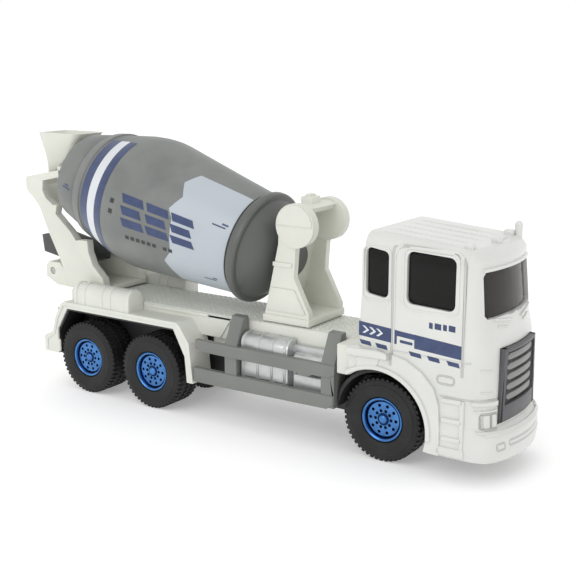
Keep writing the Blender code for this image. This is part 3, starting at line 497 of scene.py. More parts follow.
def rim_mesh(width):
    bottom = -width + 0.5
    profile = [
        (0.0, -0.45), (0.45, -0.5), (0.8, -0.62), (0.98, -0.85), (1.02, -1.15), (1.3, -1.2),
        (1.36, -1.1), (2.3, -1.08), (3.55, -1.08), (3.7, -1.12), (3.78, -1.7), (4.0, -1.75),
        (4.08, -1.0), (4.2, -0.55), (4.42, -0.4), (4.62, -0.42), (4.76, -0.6), (4.78, -0.9),
        (4.78, bottom), (0.0, bottom),
    ]
    rim = shown("rim", spun(profile, 96), wheel_blue)
    rim.data.materials.append(rim_painted_shade.material)
    # Faces in the groove, round the hub recess and deeper than the disc get the painted shade blue.
    for face in rim.data.polygons:
        reach = math.hypot(face.center.x, face.center.z) / MM
        deep = face.center.y < -1.3 * MM
        if deep or 3.68 < reach < 4.06 or 1.0 < reach < 1.34:
            face.material_index = 1
    cutters = []
    for radius, size, depth, across in ((2.98, 0.36, 1.4, -1.2), (1.82, 0.36, 0.9, -1.1)):
        drill = bmesh.new()
        round_hole = {"segments": 16, "radius1": size * MM, "radius2": size * MM, "depth": depth * MM}
        bmesh.ops.create_cone(drill, cap_ends=True, **round_hole)
        upright = Matrix.Rotation(math.pi / 2, 3, "X")
        bmesh.ops.rotate(drill, cent=(0, 0, 0), matrix=upright, verts=drill.verts)
        sizes = {"Count": 10, "Radius": radius * MM, "Across": across * MM, "Turn": 0.0}
        cutters.append(repeated(ring_of_blocks, drill, pocket_painted_shade, **sizes))
    cutter = gathered("drills", cutters, pocket_painted_shade)
    # The cut carries the cutters' near black onto the hole and pocket walls as painted shade.
    cut = rim.modifiers.new("drill", "BOOLEAN")
    cut.object = cutter
    cut.operation = "DIFFERENCE"
    cut.material_mode = "TRANSFER"
    bpy.context.view_layer.update()
    mesh = bpy.data.meshes.new_from_object(rim.evaluated_get(bpy.context.evaluated_depsgraph_get()))
    for helper in (rim, cutter):
        bpy.data.objects.remove(helper, do_unlink=True)
    return mesh


for position, axle_x, face, width in WHEELS:
    mesh = rim_mesh(width)
    for side, word in SIDES:
        rim = on_wheel(mesh, "rim_" + position + "_" + word, axle_x, face, side, None)
        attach(rim, position + "_wheels")
        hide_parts("wheel_" + position + "_" + word)


# ---------------------------------------------------------------- deck and wheel boxes
# The rear body is one warm white moulding: a raised walkway with tread plate, flat boxes over the
# rear wheels, a ribbed locker on each, and stepped corners in front that meet the cab.

white_plastic = moulded("white_plastic", srgb(220, 221, 213), 0.42, shade=0.03)
white_plastic.feed("Subsurface Weight", 0.08)
white_plastic.feed("Subsurface Scale", 0.0015)
skin("deck_body", "truck", white_plastic, 0.22)

stud = box_shape((-0.5, -0.14, -0.1), (0.5, 0.14, 0.08), 0.06, 1)
plates = []
for place, turn in (((-2.6, 0.0), 0.785), ((-1.85, 0.75), -0.785)):
    sizes = {
        "Count X": 50,
        "Count Y": 10,
        "Length": 73.5 * MM,
        "Width": 13.5 * MM,
        "Turn": turn,
        "Place": (place[0] * MM, place[1] * MM - 0.3 * MM, 24.42 * MM),
    }
    plates.append(repeated(rows_of_blocks, stud.copy(), white_plastic, **sizes))
stud.free()
tread_plate = gathered("tread_plate", plates, white_plastic)
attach(tread_plate, "truck")


def rounded(shape, edge, angle, segments=2):
    """Bevels the edges of a shape that turn by more than an angle."""
    shape.normal_update()
    turn = math.radians(angle)
    sharp = [e for e in shape.edges if len(e.link_faces) == 2 and e.calc_face_angle(0) > turn]
    settings = {"segments": segments, "profile": 0.5, "affect": "EDGES", "clamp_overlap": True}
    bmesh.ops.bevel(shape, geom=sharp, offset=edge * MM, **settings)
    return shape


def prism_shape(outline, start, end, axis="Y", edge=0.0, segments=2):
    """A flat outline given a thickness: X, Z points along Y, X, Y points along Z, or Y, Z points along X."""
    shape = bmesh.new()
    places = {"Y": lambda u, v, w: (u, w, v), "Z": lambda u, v, w: (u, v, w), "X": lambda u, v, w: (w, u, v)}
    layers = []
    for w in (start, end):
        layers.append([shape.verts.new(Vector(places[axis](u, v, w)) * MM) for u, v in outline])
    count = len(outline)
    for i in range(count):
        j = (i + 1) % count
        shape.faces.new((layers[0][i], layers[0][j], layers[1][j], layers[1][i]))
    for layer in layers:
        shape.faces.new(layer)
    settle(shape)
    return rounded(shape, edge, 25, segments) if edge else shape


def slab(outline, side, near, far, edge=0.0, segments=2):
    """A flat X, Z outline on one side of the truck, thick from near to far millimetres out."""
    low, high = sorted((side * near, side * far))
    return prism_shape(outline, low, high, "Y", edge, segments)


def arc(centre, radius, start, end, steps):
    angles = [math.radians(start + (end - start) * i / steps) for i in range(steps + 1)]
    return [(centre[0] + radius * math.cos(a), centre[1] + radius * math.sin(a)) for a in angles]


deck_trim = []
for side in (1, -1):
    # Bands over the locker, a raised rim along the wheel box, and the walkway's side gussets
    band = [(side * 7.95, 22.3), (side * 7.95, 25.1)]
    band += [(side * y, z) for y, z in arc((10.5, 25.1), 2.62, 180, 0, 16)]
    band += [(side * 13.12, 22.3)]
    for x in (-46.2, -43.4, -37.6, -34.8, -29.0):
        deck_trim.append(prism_shape(band, x, x + 0.9, "X", 0.1, 1))
    rim = [
        (-57.0, 9.4), (-57.0, 12.6), (-54.0, 14.2), (-52.7, 18.4), (-50.6, 21.9), (-49.5, 22.5),
        (-13.0, 22.5), (-12.1, 21.9), (-9.3, 17.9), (-8.4, 8.7), (-9.4, 8.7), (-10.2, 17.4),
        (-12.9, 21.3), (-13.4, 21.6), (-49.2, 21.6), (-50.0, 21.2), (-51.9, 18.0), (-53.3, 13.6),
        (-56.0, 12.0), (-56.0, 9.4),
    ]
    deck_trim.append(slab(rim, side, 13.2, 13.55, 0.12, 2))
    deck_trim.append(slab([(-8.0, 24.0), (-1.0, 24.0), (-4.4, 18.9)], side, 7.7, 8.15, 0.08, 1))
    strip = [(-26.0, 24.1), (1.4, 24.1), (1.4, 23.4), (-26.0, 23.4)]
    deck_trim.append(slab(strip, side, 7.7, 8.15, 0.08, 1))
    # Two steps where the deck meets the cab
    for step in (
        [(33.6, 22.6), (33.6, 24.6), (42.6, 24.6), (42.6, 22.9)],
        [(34.6, 20.9), (34.6, 22.6), (40.6, 22.6), (40.0, 20.9)],
    ):
        deck_trim.append(slab(step, side, 12.6, 13.7, 0.2, 2))
trim = gathered("deck_trim", deck_trim, white_plastic)
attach(trim, "truck")

liners = []
for side in (1, -1):
    under = [(-52.2, 8.9), (-52.2, 15.1), (-48.6, 20.8), (-14.1, 20.8), (-10.9, 14.7), (-10.4, 8.6)]
    inset = [(-10.8, 8.6), (-11.3, 14.6), (-14.4, 20.3), (-48.3, 20.3), (-51.8, 14.9), (-51.8, 8.9)]
    liners.append(slab(under + inset, side, 6.6, 12.9))
    liners.append(slab([(-52.0, 10.4), (-52.0, 18.6), (-9.0, 18.6), (-9.0, 10.4)], side, 4.6, 4.9))
liners.append(box_shape((-52.2, -12.9, 12.6), (-51.9, 12.9, 20.6)))
liner = gathered("wheel_box_liner", liners, chassis_black)
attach(liner, "truck")


# ---------------------------------------------------------------- cab
# The cab is die cast and sprayed gloss white. Shut lines, the step panel, the lamps and the
# bumper's grooves are cast into it, and blue trim is printed on its sides.

cab_paint = Finish("cab_paint", coat_weight=0.35, coat_roughness=0.12)
x, y, z = cab_paint.place()
side_face = abs(y) > 12.95
front_face = x > 57.6


def frame_line(u, v, left, right, low, high, corner, width):
    """A thin line round a rounded rectangle, as a height from 0 to 1."""
    du = abs(u - (left + right) / 2) - ((right - left) / 2 - corner)
    dv = abs(v - (low + high) / 2) - ((high - low) / 2 - corner)
    du, dv = du.sum("MAXIMUM", 0.0), dv.sum("MAXIMUM", 0.0)
    away = (du * du + dv * dv).sum("SQRT")
    return away.line(corner, width)


door = frame_line(x, z, 43.2, 58.6, 14.0, 46.8, 1.6, 0.5) * side_face * (z > 22.0)
waist = z.line(25.0, 0.3) * side_face * (x > 43.0)
vent = frame_line(x, z, 53.4, 57.0, 20.1, 21.7, 0.75, 0.35) * side_face
lamp = frame_line(abs(y), z, 8.9, 12.1, 11.8, 14.9, 0.6, 0.4) * front_face
divide = abs(y).line(10.4, 0.3) * (z > 12.0) * (z < 14.8) * front_face
slot_line = frame_line(abs(y), z, -7.0, 7.0, 8.0, 9.0, 0.4, 0.35) * front_face
fog = frame_line(abs(y), z, 8.3, 10.4, 7.6, 8.9, 0.4, 0.35) * front_face
crease = z.line(17.6, 0.35) * (x > 54.0)
grooves = door.sum("MAXIMUM", vent).sum("MAXIMUM", lamp)
grooves = grooves.sum("MAXIMUM", divide).sum("MAXIMUM", slot_line).sum("MAXIMUM", fog)
grooves = grooves.sum("MAXIMUM", crease * 0.7).sum("MAXIMUM", waist * 0.5)
tone = cab_paint.noise(16.0, 2.0)
white = cab_paint.mix(tone.step(0.3, 0.7), srgb(210, 211, 206), srgb(217, 218, 214))
# The grooves are also painted darker grey in the colour: painted shade in the cast lines, on top of their
# bump.
cab_paint.feed("Base Color", cab_paint.mix(grooves * 0.42, white, srgb(150, 152, 150)))
cab_paint.feed("Roughness", tone * 0.05 + 0.26)
cab_paint.bump(1.0 - grooves, 0.16)
cab = skin("cab_shell", "truck", cab_paint, 0.3, 30, 3)



def hit_tree(node):
    """A CAD node's faces, ready for ray casts."""
    data = nodes[node].data
    return BVHTree.FromPolygons([v.co.copy() for v in data.vertices], [p.vertices[:] for p in data.polygons])


surface = hit_tree("cab_shell")


def on_front(y, z, lift=0.0):
    """The cab's front surface at a height and a distance across, raised by lift millimetres."""
    start = Vector((0.1, y * MM, z * MM))
    point, normal, _, _ = surface.ray_cast(start, Vector((-1, 0, 0)))
    if point is None or point.x < 0.05:
        point, normal = Vector((0.06, y * MM, z * MM)), Vector((1, 0, 0))
    return point + normal * lift * MM


def conformed(points, thickness, base=-0.15):
    """A closed pad over Y, Z points that follows the curve of the cab's front."""
    shape = bmesh.new()
    under = [shape.verts.new(on_front(y, z, base)) for y, z in points]
    over = [shape.verts.new(on_front(y, z, thickness)) for y, z in points]
    count = len(points)
    for i in range(count):
        j = (i + 1) % count
        shape.faces.new((under[i], under[j], over[j], over[i]))
    shape.faces.new(under)
    shape.faces.new(over)
    settle(shape)
    return shape


def joined(shape, rows, closed=False):
    """Faces from each row of corners to the next, with a face over each end if the rows don't close."""
    pairs = list(zip(rows, rows[1:])) + ([(rows[-1], rows[0])] if closed else [])
    for first, second in pairs:
        for i in range(len(first)):
            j = (i + 1) % len(first)
            shape.faces.new((first[i], first[j], second[j], second[i]))
    if not closed:
        shape.faces.new(rows[0])
        shape.faces.new(rows[-1])
    settle(shape)
    return shape


def strip_on_front(path, width, thickness, pieces=1):
    """A raised strip along Y, Z points on the cab's front, as quads that follow its curve."""
    shape = bmesh.new()
    rows = []
    for i, (y, z) in enumerate(path):
        ahead = Vector(path[min(i + 1, len(path) - 1)]) - Vector(path[max(i - 1, 0)])
        across = Vector((-ahead.y, ahead.x)).normalized() * width / 2
        corners = [(y + across.x, z + across.y, -0.2), (y + across.x * 0.6, z + across.y * 0.6, thickness)]
        corners += [(y - across.x * 0.6, z - across.y * 0.6, thickness), (y - across.x, z - across.y, -0.2)]
        rows.append([shape.verts.new(on_front(*corner)) for corner in corners])
    return joined(shape, rows)


def straight(start, end, steps=14):
    (y0, z0), (y1, z1) = start, end
    return [(y0 + (y1 - y0) * i / steps, z0 + (z1 - z0) * i / steps) for i in range(steps + 1)]


CAB_SIDE = 13.3  # how far the cab's flat sides stand from the middle


def moulding_on_side(path, side, width=0.42, rise=0.16):
    """A raised half-round line along X, Z points on the cab's side."""
    shape = bmesh.new()
    rows = []
    closed = path[0] == path[-1]
    points = path[:-1] if closed else path
    count = len(points)
    for i, (x, z) in enumerate(points):
        before = points[i - 1] if closed or i else points[i]
        after = points[(i + 1) % count] if closed or i < count - 1 else points[i]
        ahead = (Vector(after) - Vector(before)).normalized()
        across = Vector((-ahead.y, ahead.x)) * width / 2
        lean = CAB_SIDE - max(0.0, z - 45.0) * 0.12
        ring = []
        for share, lift in ((1.0, -0.3), (0.85, rise * 0.7), (0.0, rise), (-0.85, rise * 0.7), (-1.0, -0.3)):
            place = (x + across.x * share, side * (lean + lift), z + across.y * share)
            ring.append(shape.verts.new(Vector(place) * MM))
        rows.append(ring)
    return joined(shape, rows, closed)


FRONT_AXLE = (WHEELS[0][1], AXLE_HEIGHT)

cab_trim = []
for side in (1, -1):
    # Flared wheel arch with a raised lip, and the ledge behind it
    outer = [(42.4, 24.4), (46.6, 23.6), (50.2, 21.6), (52.8, 18.9), (54.0, 15.6), (54.3, 11.0), (54.3, 5.3)]
    inner = arc(FRONT_AXLE, 11.45, -18, 128, 30)
    flare = [(52.2, 5.3)] + inner + [(33.6, 18.4), (33.6, 24.4)]
    cab_trim.append(slab(flare + outer, side, 12.2, 13.85, 0.35, 3))
    ridge = arc(FRONT_AXLE, 12.5, -6, 126, 30) + arc(FRONT_AXLE, 11.5, 126, -6, 30)
    cab_trim.append(slab(ridge, side, 12.2, 14.35, 0.3, 3))
    ledge = [(33.4, 22.9), (33.4, 24.6), (40.6, 24.9), (43.2, 24.4), (43.2, 23.2)]
    cab_trim.append(slab(ledge, side, 12.6, 15.0, 0.35, 3))
    block = [(35.4, 20.4), (35.4, 23.2), (41.0, 23.2), (39.8, 20.4)]
    cab_trim.append(slab(block, side, 12.6, 14.2, 0.35, 3))
    # Two steps in a frame ahead of the arch
    low, high = sorted((side * 12.9, side * 13.85))
    for step_z, step_high in ((8.6, 9.6), (12.4, 13.4), (16.4, 17.4)):
        cab_trim.append(box_shape((54.6, low, step_z), (59.2, high, step_high), 0.3, 3))
    cab_trim.append(box_shape((58.5, low, 7.0), (59.4, high, 17.4), 0.3, 3))
    cab_trim.append(box_shape((53.6, low, 5.5), (59.6, high, 7.4), 0.4, 3))
    # Headlamp and its ledge
    for near, far in ((9.0, 10.3), (10.7, 12.2)):
        pad = [(side * near, 11.9), (side * far, 11.9), (side * far, 14.7), (side * near, 14.7)]
        cab_trim.append(conformed(pad, 0.25))
    for near, low_z, far, high_z, width, rise in (
        (8.9, 16.9, 12.9, 17.2, 1.5, 0.55),
        (8.9, 15.4, 12.7, 15.5, 0.5, 0.35),
        (9.0, 11.2, 12.9, 11.2, 0.5, 0.35),
    ):
        line = straight((side * near, low_z), (side * far, high_z))
        cab_trim.append(strip_on_front(line, width, rise))
    # Raised frame round the door and the window in it
    for path in (
        [
            (43.6, 25.4), (43.6, 44.6), (44.4, 46.0), (45.6, 46.6), (57.0, 46.2), (58.2, 45.2), (58.5, 43.6),
            (58.7, 33.0), (58.9, 24.0),
        ],
        [
            (45.5, 35.2), (45.5, 45.0), (46.1, 45.9), (47.0, 46.2), (56.0, 45.9), (57.0, 45.3), (57.3, 44.4),
            (57.3, 34.9), (56.8, 34.2), (55.9, 33.9), (47.0, 33.9), (46.1, 34.2), (45.5, 35.2),
        ],
        [
            (36.4, 35.6), (36.4, 44.8), (37.0, 45.6), (42.0, 45.6), (42.6, 44.8), (42.6, 35.6), (42.0, 34.9),
            (37.0, 34.9), (36.4, 35.6),
        ],
    ):
        cab_trim.append(moulding_on_side(path, side))
    # Two grab rails below the screen, the wiper blade along it, and two seams beside the grille
    for near, low_z, far, high_z, width, rise in (
        (2.2, 32.0, 8.6, 33.1, 0.55, 0.45),
        (3.6, 30.9, 7.2, 31.5, 0.4, 0.3),
        (0.6, 33.3, 6.4, 33.5, 0.3, 0.35),
        (9.6, 19.0, 12.2, 19.0 + 0.3, 0.35, 0.16),
        (9.6, 23.4, 12.2, 23.4 + 0.3, 0.35, 0.16),
    ):
        line = straight((side * near, low_z), (side * far, high_z))
        cab_trim.append(strip_on_front(line, width, rise))
# Brow over the screen
cab_trim.append(strip_on_front(straight((-10.6, 42.7), (10.6, 42.7), 26), 0.9, 0.4))
cab_trim.append(strip_on_front(straight((-12.4, 10.9), (12.4, 10.9), 30), 0.8, 0.3))
# Five shallow ribs down the roof, and the beacon's rounded top
for y in (-8.4, -4.2, 0.0, 4.2, 8.4):
    rib = bmesh.new()
    rows = []
    for i in range(13):
        x = 38.0 + 18.6 * i / 12
        point, _, _, _ = surface.ray_cast(Vector((x * MM, y * MM, 0.08)), Vector((0, 0, -1)))
        rise = 0.13 if 0 < i < 12 else 0.0
        ring = []
        for across, lift in ((-1.5, -0.2), (-1.2, rise), (1.2, rise), (1.5, -0.2)):
            ring.append(rib.verts.new(point + Vector((0, across * MM, lift * MM))))
        rows.append(ring)
    cab_trim.append(joined(rib, rows))
dome = bmesh.new()
bmesh.ops.create_uvsphere(dome, u_segments=20, v_segments=12, radius=0.85 * MM)
bmesh.ops.translate(dome, vec=Vector((59.0, 10.8, 48.5)) * MM, verts=dome.verts)
cab_trim.append(dome)
trim = gathered("cab_trim", cab_trim, cab_paint)
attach(trim, "truck")


# ---------------------------------------------------------------- printed trim on the cab
# Pad printed in dark blue on the doors: one broad stripe, a row of slanted dashes under it, a few
# plain bars, and three white chevrons at the back of the stripe.

print_blue = Finish("print_blue", coat_weight=0.2)
ink = print_blue.noise(1.6, 3.0)
print_blue.feed("Base Color", print_blue.mix(ink.step(0.3, 0.7), srgb(42, 57, 96), srgb(50, 67, 108)))
print_blue.feed("Roughness", ink * 0.12 + 0.3)
print_white = moulded("print_white", srgb(226, 230, 234), 0.35)
print_black = moulded("print_black", srgb(52, 52, 54), 0.4)


def printed_flat(name, outlines, finish, side, lift=0.03):
    """Thin printed patches on the flat side of the cab, from X, Z outlines."""
    shape = bmesh.new()
    reach = CAB_SIDE + lift
    for outline in outlines:
        verts = [shape.verts.new((x * MM, side * reach * MM, z * MM)) for x, z in outline]
        face = shape.faces.new(verts if side < 0 else list(reversed(verts)))
        face.normal_update()
        if face.normal.y * side < 0:
            face.normal_flip()
    made = shown(name, shape, finish)
    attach(made, "truck")
    return made


STRIPE_REAR, STRIPE_FRONT = 35.3, 58.3


def stripe_z(x, low):
    """The height of the stripe's lower or upper edge, which drop and draw in towards the front."""
    share = (x - STRIPE_REAR) / (STRIPE_FRONT - STRIPE_REAR)
    return (27.1 - 1.6 * share) if low else (30.1 - 1.9 * share)


for side, word in SIDES:
    blue = []
    for start, end in ((35.6, 43.05), (43.35, 44.3), (48.2, 58.3)):
        under = [(start, stripe_z(start, True)), (end, stripe_z(end, True))]
        blue.append(under + [(end, stripe_z(end, False)), (start, stripe_z(start, False))])
    blue.append([(44.3, 28.2), (48.2, 27.9), (48.2, 29.0), (44.3, 29.3)])
    blue.append([(45.0, 26.9), (47.8, 26.7), (47.8, 27.3), (45.0, 27.5)])
    for start in (35.7, 39.4, 47.0, 51.0, 55.2):
        z = stripe_z(start, True) - 0.8
        end = start + 2.6
        blue.append([(start + 0.5, z - 0.9), (end + 0.3, z - 1.1), (end, z - 0.2), (start, z)])
    # Four plain bars above the stripe
    for start, width in ((51.3, 0.8), (52.5, 1.4), (54.3, 0.8), (55.5, 1.4)):
        blue.append([(start, 30.8), (start + width, 30.7), (start + width, 31.9), (start, 32.0)])
    printed_flat("cab_stripe_" + word, blue, print_blue, side)
    chevrons = []
    for start in (36.4, 38.0, 39.6):
        z = stripe_z(start, True)
        inner_edge = [(start, z + 0.7), (start + 1.0, z + 1.45), (start, z + 2.2)]
        outer_edge = [(start + 0.6, z + 2.2), (start + 1.6, z + 1.4), (start + 0.6, z + 0.65)]
        chevrons.append(inner_edge + outer_edge)
    printed_flat("cab_chevrons_" + word, chevrons, print_white, side, 0.06)


# ---------------------------------------------------------------- glazing and cab inside
# One clear smoked moulding sits inside the cab as every window. Behind it are brown seats, a
# dashboard and a steering wheel in one moulding.

smoked = Finish("smoked_glazing", ior=1.4, specular_ior_level=0.35)
x, y, z = smoked.place()
haze = smoked.noise(9.0, 2.0)
front = x.step(56.5, 59.5)
pane = smoked.mix(front, srgb(12, 12, 11), srgb(58, 54, 49))
smoked.feed("Base Color", smoked.mix(haze * 0.3, pane, srgb(28, 26, 23)))
smoked.feed("Roughness", haze * 0.06 + 0.07)
smoked.feed("Alpha", 0.9 - front * 0.12)
skin("cab_glazing", "truck", smoked, 0.1)

# Where the moulding swells forward into each window so that it sits nearly flush
glass_surface = hit_tree("cab_glazing")
panes = []
for side in (1, -1):
    for x0, x1, z0, z1 in ((36.7, 42.5, 35.2, 45.7), (45.9, 57.0, 34.3, 45.6)):
        low, high = sorted((side * 11.6, side * 12.75))
        panes.append(box_shape((x0 + 0.35, low, z0 + 0.35), (x1 - 0.35, high, z1 - 0.35), 0.5, 3))
pane = bmesh.new()
rows = []
for i in range(25):
    y = -10.75 + 21.5 * i / 24
    column = []
    for z in (33.45, 36.0, 39.0, 42.15):
        point, _, _, _ = glass_surface.ray_cast(Vector((0.1, y * MM, z * MM)), Vector((-1, 0, 0)))
        column.append((point, point + Vector((0.9 * MM, 0, 0))))
    corners = [back for back, _ in column] + [front for _, front in reversed(column)]
    rows.append([pane.verts.new(corner) for corner in corners])
panes.append(joined(pane, rows))
window_panes = gathered("window_panes", panes, smoked, 30)
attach(window_panes, "truck")

seat_brown = moulded("seat_brown", srgb(84, 66, 52), 0.6)
skin("cab_interior", "truck", seat_brown, 0.25)


# ---------------------------------------------------------------- grille
# A dark grey plastic insert clips into the cab's front: a frame, five slats, and a plain plate
# below them. The back of the insert, seen between the slats, is painted near black as shade.

grille_grey = moulded("grille_grey", srgb(84, 84, 87), 0.42)
slat_grey = moulded("slat_grey", srgb(128, 130, 127), 0.36)
# Near black for the grille piece behind the slats: painted shade in the gaps.
gap_painted_shade = moulded("gap_painted_shade", srgb(14, 14, 15), 0.6)
skin("grille", "truck", gap_painted_shade, 0.1)


GRILLE_EDGE_X = 64.55
GRILLE_BOW = 1.0
GRILLE_BOW_HALF = 8.6
GRILLE_LOW = 12.5
GRILLE_HEIGHT = 14.9
GRILLE_HALF = 8.4
GRILLE_TAPER = 0.85


def grille_front(y, lift):
    """How far forward the bowed face of the grille stands at a distance across."""
    return GRILLE_EDGE_X + GRILLE_BOW * (1 - (y / GRILLE_BOW_HALF) ** 2) + lift


def bowed_bar(low, high, half_low, half_high, back, lift, edge=0.12, steps=18):
    """A bar across the grille that follows the bow of the cab's nose."""
    shape = bmesh.new()
    rows = []
    for i in range(steps + 1):
        share = -1 + 2 * i / steps
        corners = []
        for half, z in ((half_low, low), (half_high, high)):
            y = half * share
            front = grille_front(y, lift)
            corners.append(((front - back, y, z), (front, y, z)))
        ring = (corners[0][0], corners[0][1], corners[1][1], corners[1][0])
        rows.append([shape.verts.new(Vector(corner) * MM) for corner in ring])
    return rounded(joined(shape, rows), edge, 50)


def half_width(z):
    return GRILLE_HALF - GRILLE_TAPER * (z - GRILLE_LOW) / GRILLE_HEIGHT


bars = [bowed_bar(26.5, 27.3, half_width(26.5), half_width(27.3), 1.6, 0.15)]
bars.append(bowed_bar(12.6, 15.9, half_width(12.6), half_width(15.9), 1.6, 0.1))
SLATS = 5
SLAT_LOW, SLAT_PITCH, SLAT_HEIGHT, SLAT_INSET = 16.55, 2.04, 1.3, 0.75
slats = []
for i in range(SLATS):
    low = SLAT_LOW + SLAT_PITCH * i
    high = low + SLAT_HEIGHT
    half_low, half_high = half_width(low) - SLAT_INSET, half_width(high) - SLAT_INSET
    slats.append(bowed_bar(low, high, half_low, half_high, 0.9, -0.25))
for side in (1, -1):
    post = bmesh.new()
    rows = []
    for z in (12.6, 17.0, 17.6, 27.3):
        outer = half_width(z) + (0.35 if 17.0 <= z <= 17.6 else 0.0)
        inner = half_width(z) - 1.0
        ring = []
        for reach, back in ((inner, 1.4), (inner, 0.0), (outer, 0.0), (outer, 1.4)):
            ring.append(post.verts.new(Vector((grille_front(reach, 0.15) - back, side * reach, z)) * MM))
        rows.append(ring)
    bars.append(joined(post, rows))
for name, shapes, finish in (("grille_frame", bars, grille_grey), ("grille_slats", slats, slat_grey)):
    piece = gathered(name, shapes, finish)
    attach(piece, "truck")


# ---------------------------------------------------------------- drum
# The drum is moulded in satin grey in three pieces that turn together: a long body, a tail cone
# behind a narrow groove, and a dished front with a rolled ring. The trim is pad printed.

DRUM_TILT = math.radians(13.0)
DRUM_X, DRUM_Z = 2.4, 39.6
BACK = Vector((-math.cos(DRUM_TILT), 0, math.sin(DRUM_TILT)))
RISE = Vector((math.sin(DRUM_TILT), 0, math.cos(DRUM_TILT)))
LINE = [
    (1.9, 12.1), (4.0, 12.45), (10.0, 13.25), (20.0, 14.6), (28.0, 15.7), (30.0, 15.97), (31.6, 16.1),
    (33.2, 16.08), (35.0, 15.95), (38.0, 15.5), (45.4, 13.68), (45.6, 13.72),
    (45.8, 14.0), (48.0, 13.46), (48.2, 13.3), (48.4, 12.96), (49.0, 12.8),
]
TAIL_LINE = [(49.3, 12.55), (49.6, 12.62), (54.6, 11.32)]


def drum_radius(distance):
    line = LINE + TAIL_LINE
    for (s0, r0), (s1, r1) in zip(line, line[1:]):
        if distance <= s1:
            return r0 + (r1 - r0) * max(0.0, (distance - s0) / (s1 - s0))
    return line[-1][1]


def on_drum(distance, angle, lift=0.0, radius=None):
    """A point on the drum: angle 0 is the top, and it grows towards the truck's right side."""
    reach = (drum_radius(distance) if radius is None else radius) + lift
    origin = Vector((DRUM_X, 0, DRUM_Z))
    side = Vector((0, -1, 0))
    turn = math.radians(angle)
    return (origin + BACK * distance + (RISE * math.cos(turn) + side * math.sin(turn)) * reach) * MM


def turned_on_drum(profile, sides=128):
    """A closed ring of (distance, radius) points turned about the drum's axis."""
    shape = bmesh.new()
    rings = []
    for distance, radius in profile:
        if radius == 0:
            rings.append([shape.verts.new(on_drum(distance, 0, 0, 0))])
        else:
            places = [on_drum(distance, 360 * i / sides, 0, radius) for i in range(sides)]
            rings.append([shape.verts.new(place) for place in places])
    return turned(shape, rings, sides)


drum_grey = Finish("drum_grey", specular_ior_level=0.5)
cloud = drum_grey.noise(9.0, 3.0, 0.55)
grain = drum_grey.noise(0.3, 4.0, 0.6)
drum_grey.feed("Base Color", drum_grey.mix(cloud.step(0.3, 0.72), srgb(110, 113, 111), srgb(122, 125, 122)))
drum_grey.feed("Roughness", grain * 0.12 + cloud * 0.12 + 0.3)
drum_grey.bump(grain, 0.012)

# The same satin grey made darker for the dished front: painted shade, as the front faces away from the
# light.
drum_front_painted_shade = moulded("drum_front_painted_shade", srgb(92, 94, 92), 0.36, shade=0.05)

DRUM_WALL = 1.2
shell = LINE + [(distance, radius - DRUM_WALL) for distance, radius in reversed(LINE)]
drum_pieces = [("drum_body", "drum_shell", shell)]
tail = [
    (49.15, 12.2), (49.3, 12.55), (49.6, 12.62), (54.6, 11.32), (55.6, 11.08), (56.05, 10.9), (56.2, 10.6),
    (56.2, 10.0), (56.0, 9.75), (51.4, 9.65), (51.2, 9.4), (51.2, 1.5), (50.0, 1.5), (50.0, 10.6),
    (49.15, 11.2),
]
drum_pieces.append(("drum_tail", "drum_tail_cone", tail))
front = [
    (-9.8, 0.0), (-9.8, 3.5), (-9.4, 3.88), (-6.5, 3.88), (-6.2, 4.3), (-6.1, 5.4), (-5.4, 7.2), (-4.2, 9.0),
    (-2.6, 10.7), (-1.6, 11.4), (-1.2, 11.7), (-1.15, 12.1), (-1.15, 12.6), (-0.9, 12.95), (-0.4, 13.1),
    (0.4, 13.1), (0.8, 12.95), (1.0, 12.6), (1.2, 12.35), (1.6, 12.15), (1.75, 11.7), (1.75, 10.6),
    (-1.6, 9.4), (-4.2, 5.6), (-4.6, 0.0),
]
drum_pieces.append(("drum_front", "drum_front_cap", front))
# The front cap takes the darker painted shade grey, and the body and tail the plain drum grey.
for name, node, profile in drum_pieces:
    piece = shown(name, turned_on_drum(profile), drum_front_painted_shade if node == "drum_front_cap" else drum_grey, 32)
    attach(piece, "drum")
    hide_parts(node)


DEGREES_PER_MM = 4.0  # about how far round the drum a millimetre reaches, for cells near square


def printed_on_drum(name, outlines, finish, lift=0.03, cell=1.0, far=False):
    """Thin printed patches on the drum, from outlines in distance along it and angle round it."""
    shape = bmesh.new()
    for outline in outlines:
        verts = [shape.verts.new((distance, angle / DEGREES_PER_MM, 0)) for distance, angle in outline]
        shape.faces.new(verts)
    low = [min(v.co[k] for v in shape.verts) for k in (0, 1)]
    high = [max(v.co[k] for v in shape.verts) for k in (0, 1)]
    for axis in (0, 1):
        count = int((high[axis] - low[axis]) / cell)
        for i in range(1, count + 1):
            cut = low[axis] + i * cell * 0.999
            normal = Vector((1, 0, 0)) if axis == 0 else Vector((0, 1, 0))
            point = normal * cut
            geometry = shape.verts[:] + shape.edges[:] + shape.faces[:]
            bmesh.ops.bisect_plane(shape, geom=geometry, plane_co=point, plane_no=normal, dist=1e-6)
    for vert in shape.verts:
        distance, angle = vert.co.x, vert.co.y * DEGREES_PER_MM
        vert.co = on_drum(distance, angle + (180 if far else 0), lift)
    shape.normal_update()
    centre = Vector((DRUM_X, 0, DRUM_Z)) * MM
    for face in shape.faces:
        middle = face.calc_center_median()
        along = (middle - centre).dot(BACK)
        if face.normal.dot(middle - centre - BACK * along) < 0:
            face.normal_flip()
    made = shown(name, shape, finish, 60)
    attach(made, "drum")
    return made


def patch(s0, s1, a0, a1):
    return [(s0, a0), (s1, a0), (s1, a1), (s0, a1)]


